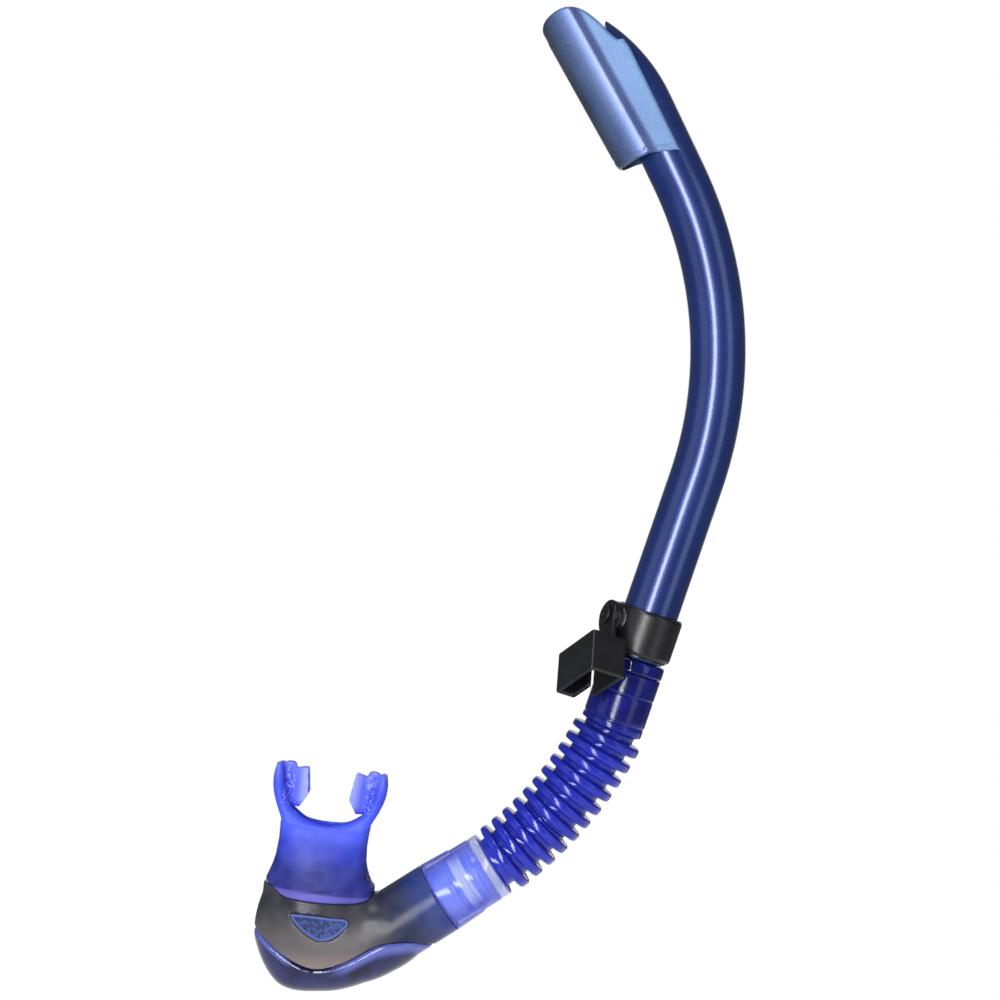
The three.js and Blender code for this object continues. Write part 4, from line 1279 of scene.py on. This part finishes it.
def cuff_density(s):
    stops = [(0, 0.03), (24, 0.03), (25.5, 0.45), (28, 0.45), (29.5, 0.86), (36, 0.86)]
    return s.ramp(s.stored(CUFF_SPAN), stops)


barrel_blue = metallic_paint("barrel_lacquer", colour(20, 37, 94), colour(34, 59, 126), 0.28, 0.4, 0.5)
# the hood's lacquer carries painted shade and a painted highlight in its colour
hood_blue = metallic_paint("hood_lacquer", hood_painted_light_tone, hood_flake_over_painted_light, 0.38, 0.35, 0.25)
satin_black = satin_plastic("satin_black", colour(12, 12, 15), colour(20, 20, 24), 0.34)
clear_blue = clear_moulding("clear_blue", colour(44, 60, 190), colour(12, 18, 84), 0.08, 0.72)
spigot_blue = clear_moulding(
    "spigot_banded", colour(200, 208, 255), lambda s: s.ramp(cuff_span(s), BANDS, "CONSTANT"), 0.15, 0.85)
hose_blue = clear_moulding("hose_silicone", colour(50, 64, 214), hose_tone, 0.16, 0.86, 0.16, 0.45)
cuff_blue = clear_moulding("hose_silicone_clear", cuff_tint, cuff_tone, 0.12, cuff_density, 0.12, 0.5)
cover_blue = clear_moulding("cover_navy", colour(70, 80, 170), cover_painted_highlight_tone, 0.14, 0.9)
mouth_blue = clear_moulding("mouthpiece_silicone", colour(120, 135, 255), mouth_tone, 0.42, 0.88, 0.3, 0.3)
valve_white = clear_moulding("valve_silicone", colour(225, 228, 238), colour(200, 205, 218), 0.4, 0.7)
smoke = clear_moulding("smoke_plastic", colour(112, 112, 126), smoke_tone, 0.2, 0.88, 0.0, 0.16)
badge_metal = badge_finish()

FINISHES = [
    (barrel_blue, "barrel_plastic", [tube], []),
    (hood_blue, "hood_plastic", [hood], ["splash_baffle"]),
    (clear_blue, "clear_blue_plastic", [coupler], []),
    (spigot_blue, "clear_blue_plastic", [spigot], []),
    (satin_black, "black_plastic", [collar, pin, clip], ["keeper_liner"]),
    (hose_blue, "hose_silicone", [upper], []),
    (cuff_blue, "hose_silicone", [lower], []),
    (smoke, "smoke_plastic", [body], ["purge_seat"]),
    (valve_white, "valve_silicone", [], ["purge_membrane"]),
    (cover_blue, "cover_plastic", [cover], []),
    (badge_metal, "badge_plastic", [badge_front, badge_back], []),
    (mouth_blue, "mouthpiece_silicone", [mouth], []),
]
for finish, slot, pieces, nodes in FINISHES:
    for piece in pieces:
        piece.data.materials.clear()
        piece.data.materials.append(finish)
    for node in nodes:
        for holder in frame["nodes"][node].material_slots:
            holder.material = finish

# ---------------- camera, floor and light
scene = bpy.context.scene
CAMERA_DISTANCE = 1.0
VIEW_WIDTH = 0.46            # across the picture, in the plane of the snorkel's curve
VIEW_CENTRE = (-65.55, 62.8)
SENSOR = 36.0

camera = bpy.data.objects.new("camera", bpy.data.cameras.new("camera"))
camera.data.sensor_width = SENSOR
camera.data.lens = SENSOR * CAMERA_DISTANCE / VIEW_WIDTH
camera.location = framed((VIEW_CENTRE[0], -CAMERA_DISTANCE / MM, VIEW_CENTRE[1]))
camera.rotation_euler = (math.radians(90), 0, 0)
scene.collection.objects.link(camera)
scene.camera = camera

FLOOR_HALF = 0.42
FLOOR_DROP = 0.07            # room for the chamber to swing down as the hose bends
floor_height = CAD_BOX[0][2] - FLOOR_DROP
floor_mesh = bpy.data.meshes.new("floor")
floor_mesh.from_pydata(
    [(x * FLOOR_HALF, y * FLOOR_HALF, floor_height) for x, y in ((-1, -1), (1, -1), (1, 1), (-1, 1))],
    [], [(0, 1, 2, 3)])
floor = bpy.data.objects.new("floor", floor_mesh)
scene.collection.objects.link(floor)
WHITE = (1, 1, 1, 1)


def floor_finish():
    """Matt and pale, and plain white away from the middle."""
    s = Shader("floor")
    length = s.node("ShaderNodeVectorMath", [s.place], operation="LENGTH")
    away = s.span(length.outputs["Value"], 0.12, 0.34, 0.88, 1.0)
    matt = s.principled(Base_Color=(0.9, 0.9, 0.9, 1.0), Roughness=0.9)
    return s.finish(s.blend(away, matt, s.lit("ShaderNodeEmission", WHITE, Strength=1.0)))


def studio():
    """A faint even light all round, behind which the camera sees plain white."""
    s = Shader("studio", bpy.data.worlds.new("studio"), "ShaderNodeOutputWorld")
    seen = s.lit("ShaderNodeBackground", WHITE)
    lighting = s.lit("ShaderNodeBackground", (0.9, 0.95, 1, 1), Strength=0.14)
    camera_ray = s.node("ShaderNodeLightPath").outputs["Is Camera Ray"]
    return s.finish(s.blend(camera_ray, lighting, seen))


floor_mesh.materials.append(floor_finish())
scene.world = studio()
TARGET = Vector((0.03, 0.027, 0.07))


def softbox(name, place, width, height, power):
    light = bpy.data.lights.new(name, "AREA")
    light.shape = "RECTANGLE"
    light.size = width
    light.size_y = height
    light.energy = power
    holder = bpy.data.objects.new(name, light)
    holder.location = place
    holder.rotation_euler = (TARGET - Vector(place)).to_track_quat("-Z", "Y").to_euler()
    scene.collection.objects.link(holder)


softbox("key_strip", (-0.37, -1.45, 0.15), 0.32, 1.5, 29)
softbox("right_strip", (1.15, -1.0, 0.15), 0.6, 1.5, 4)
softbox("left_wash", (-1.3, -0.7, 0.4), 0.9, 1.2, 2.5)
softbox("top_wash", (-0.2, -0.6, 1.5), 0.7, 0.7, 8)
softbox("back_wash", (0.2, 1.4, 0.3), 1.2, 1.0, 3)

scene.cycles.transparent_max_bounces = 32
scene.view_settings.view_transform = "Standard"
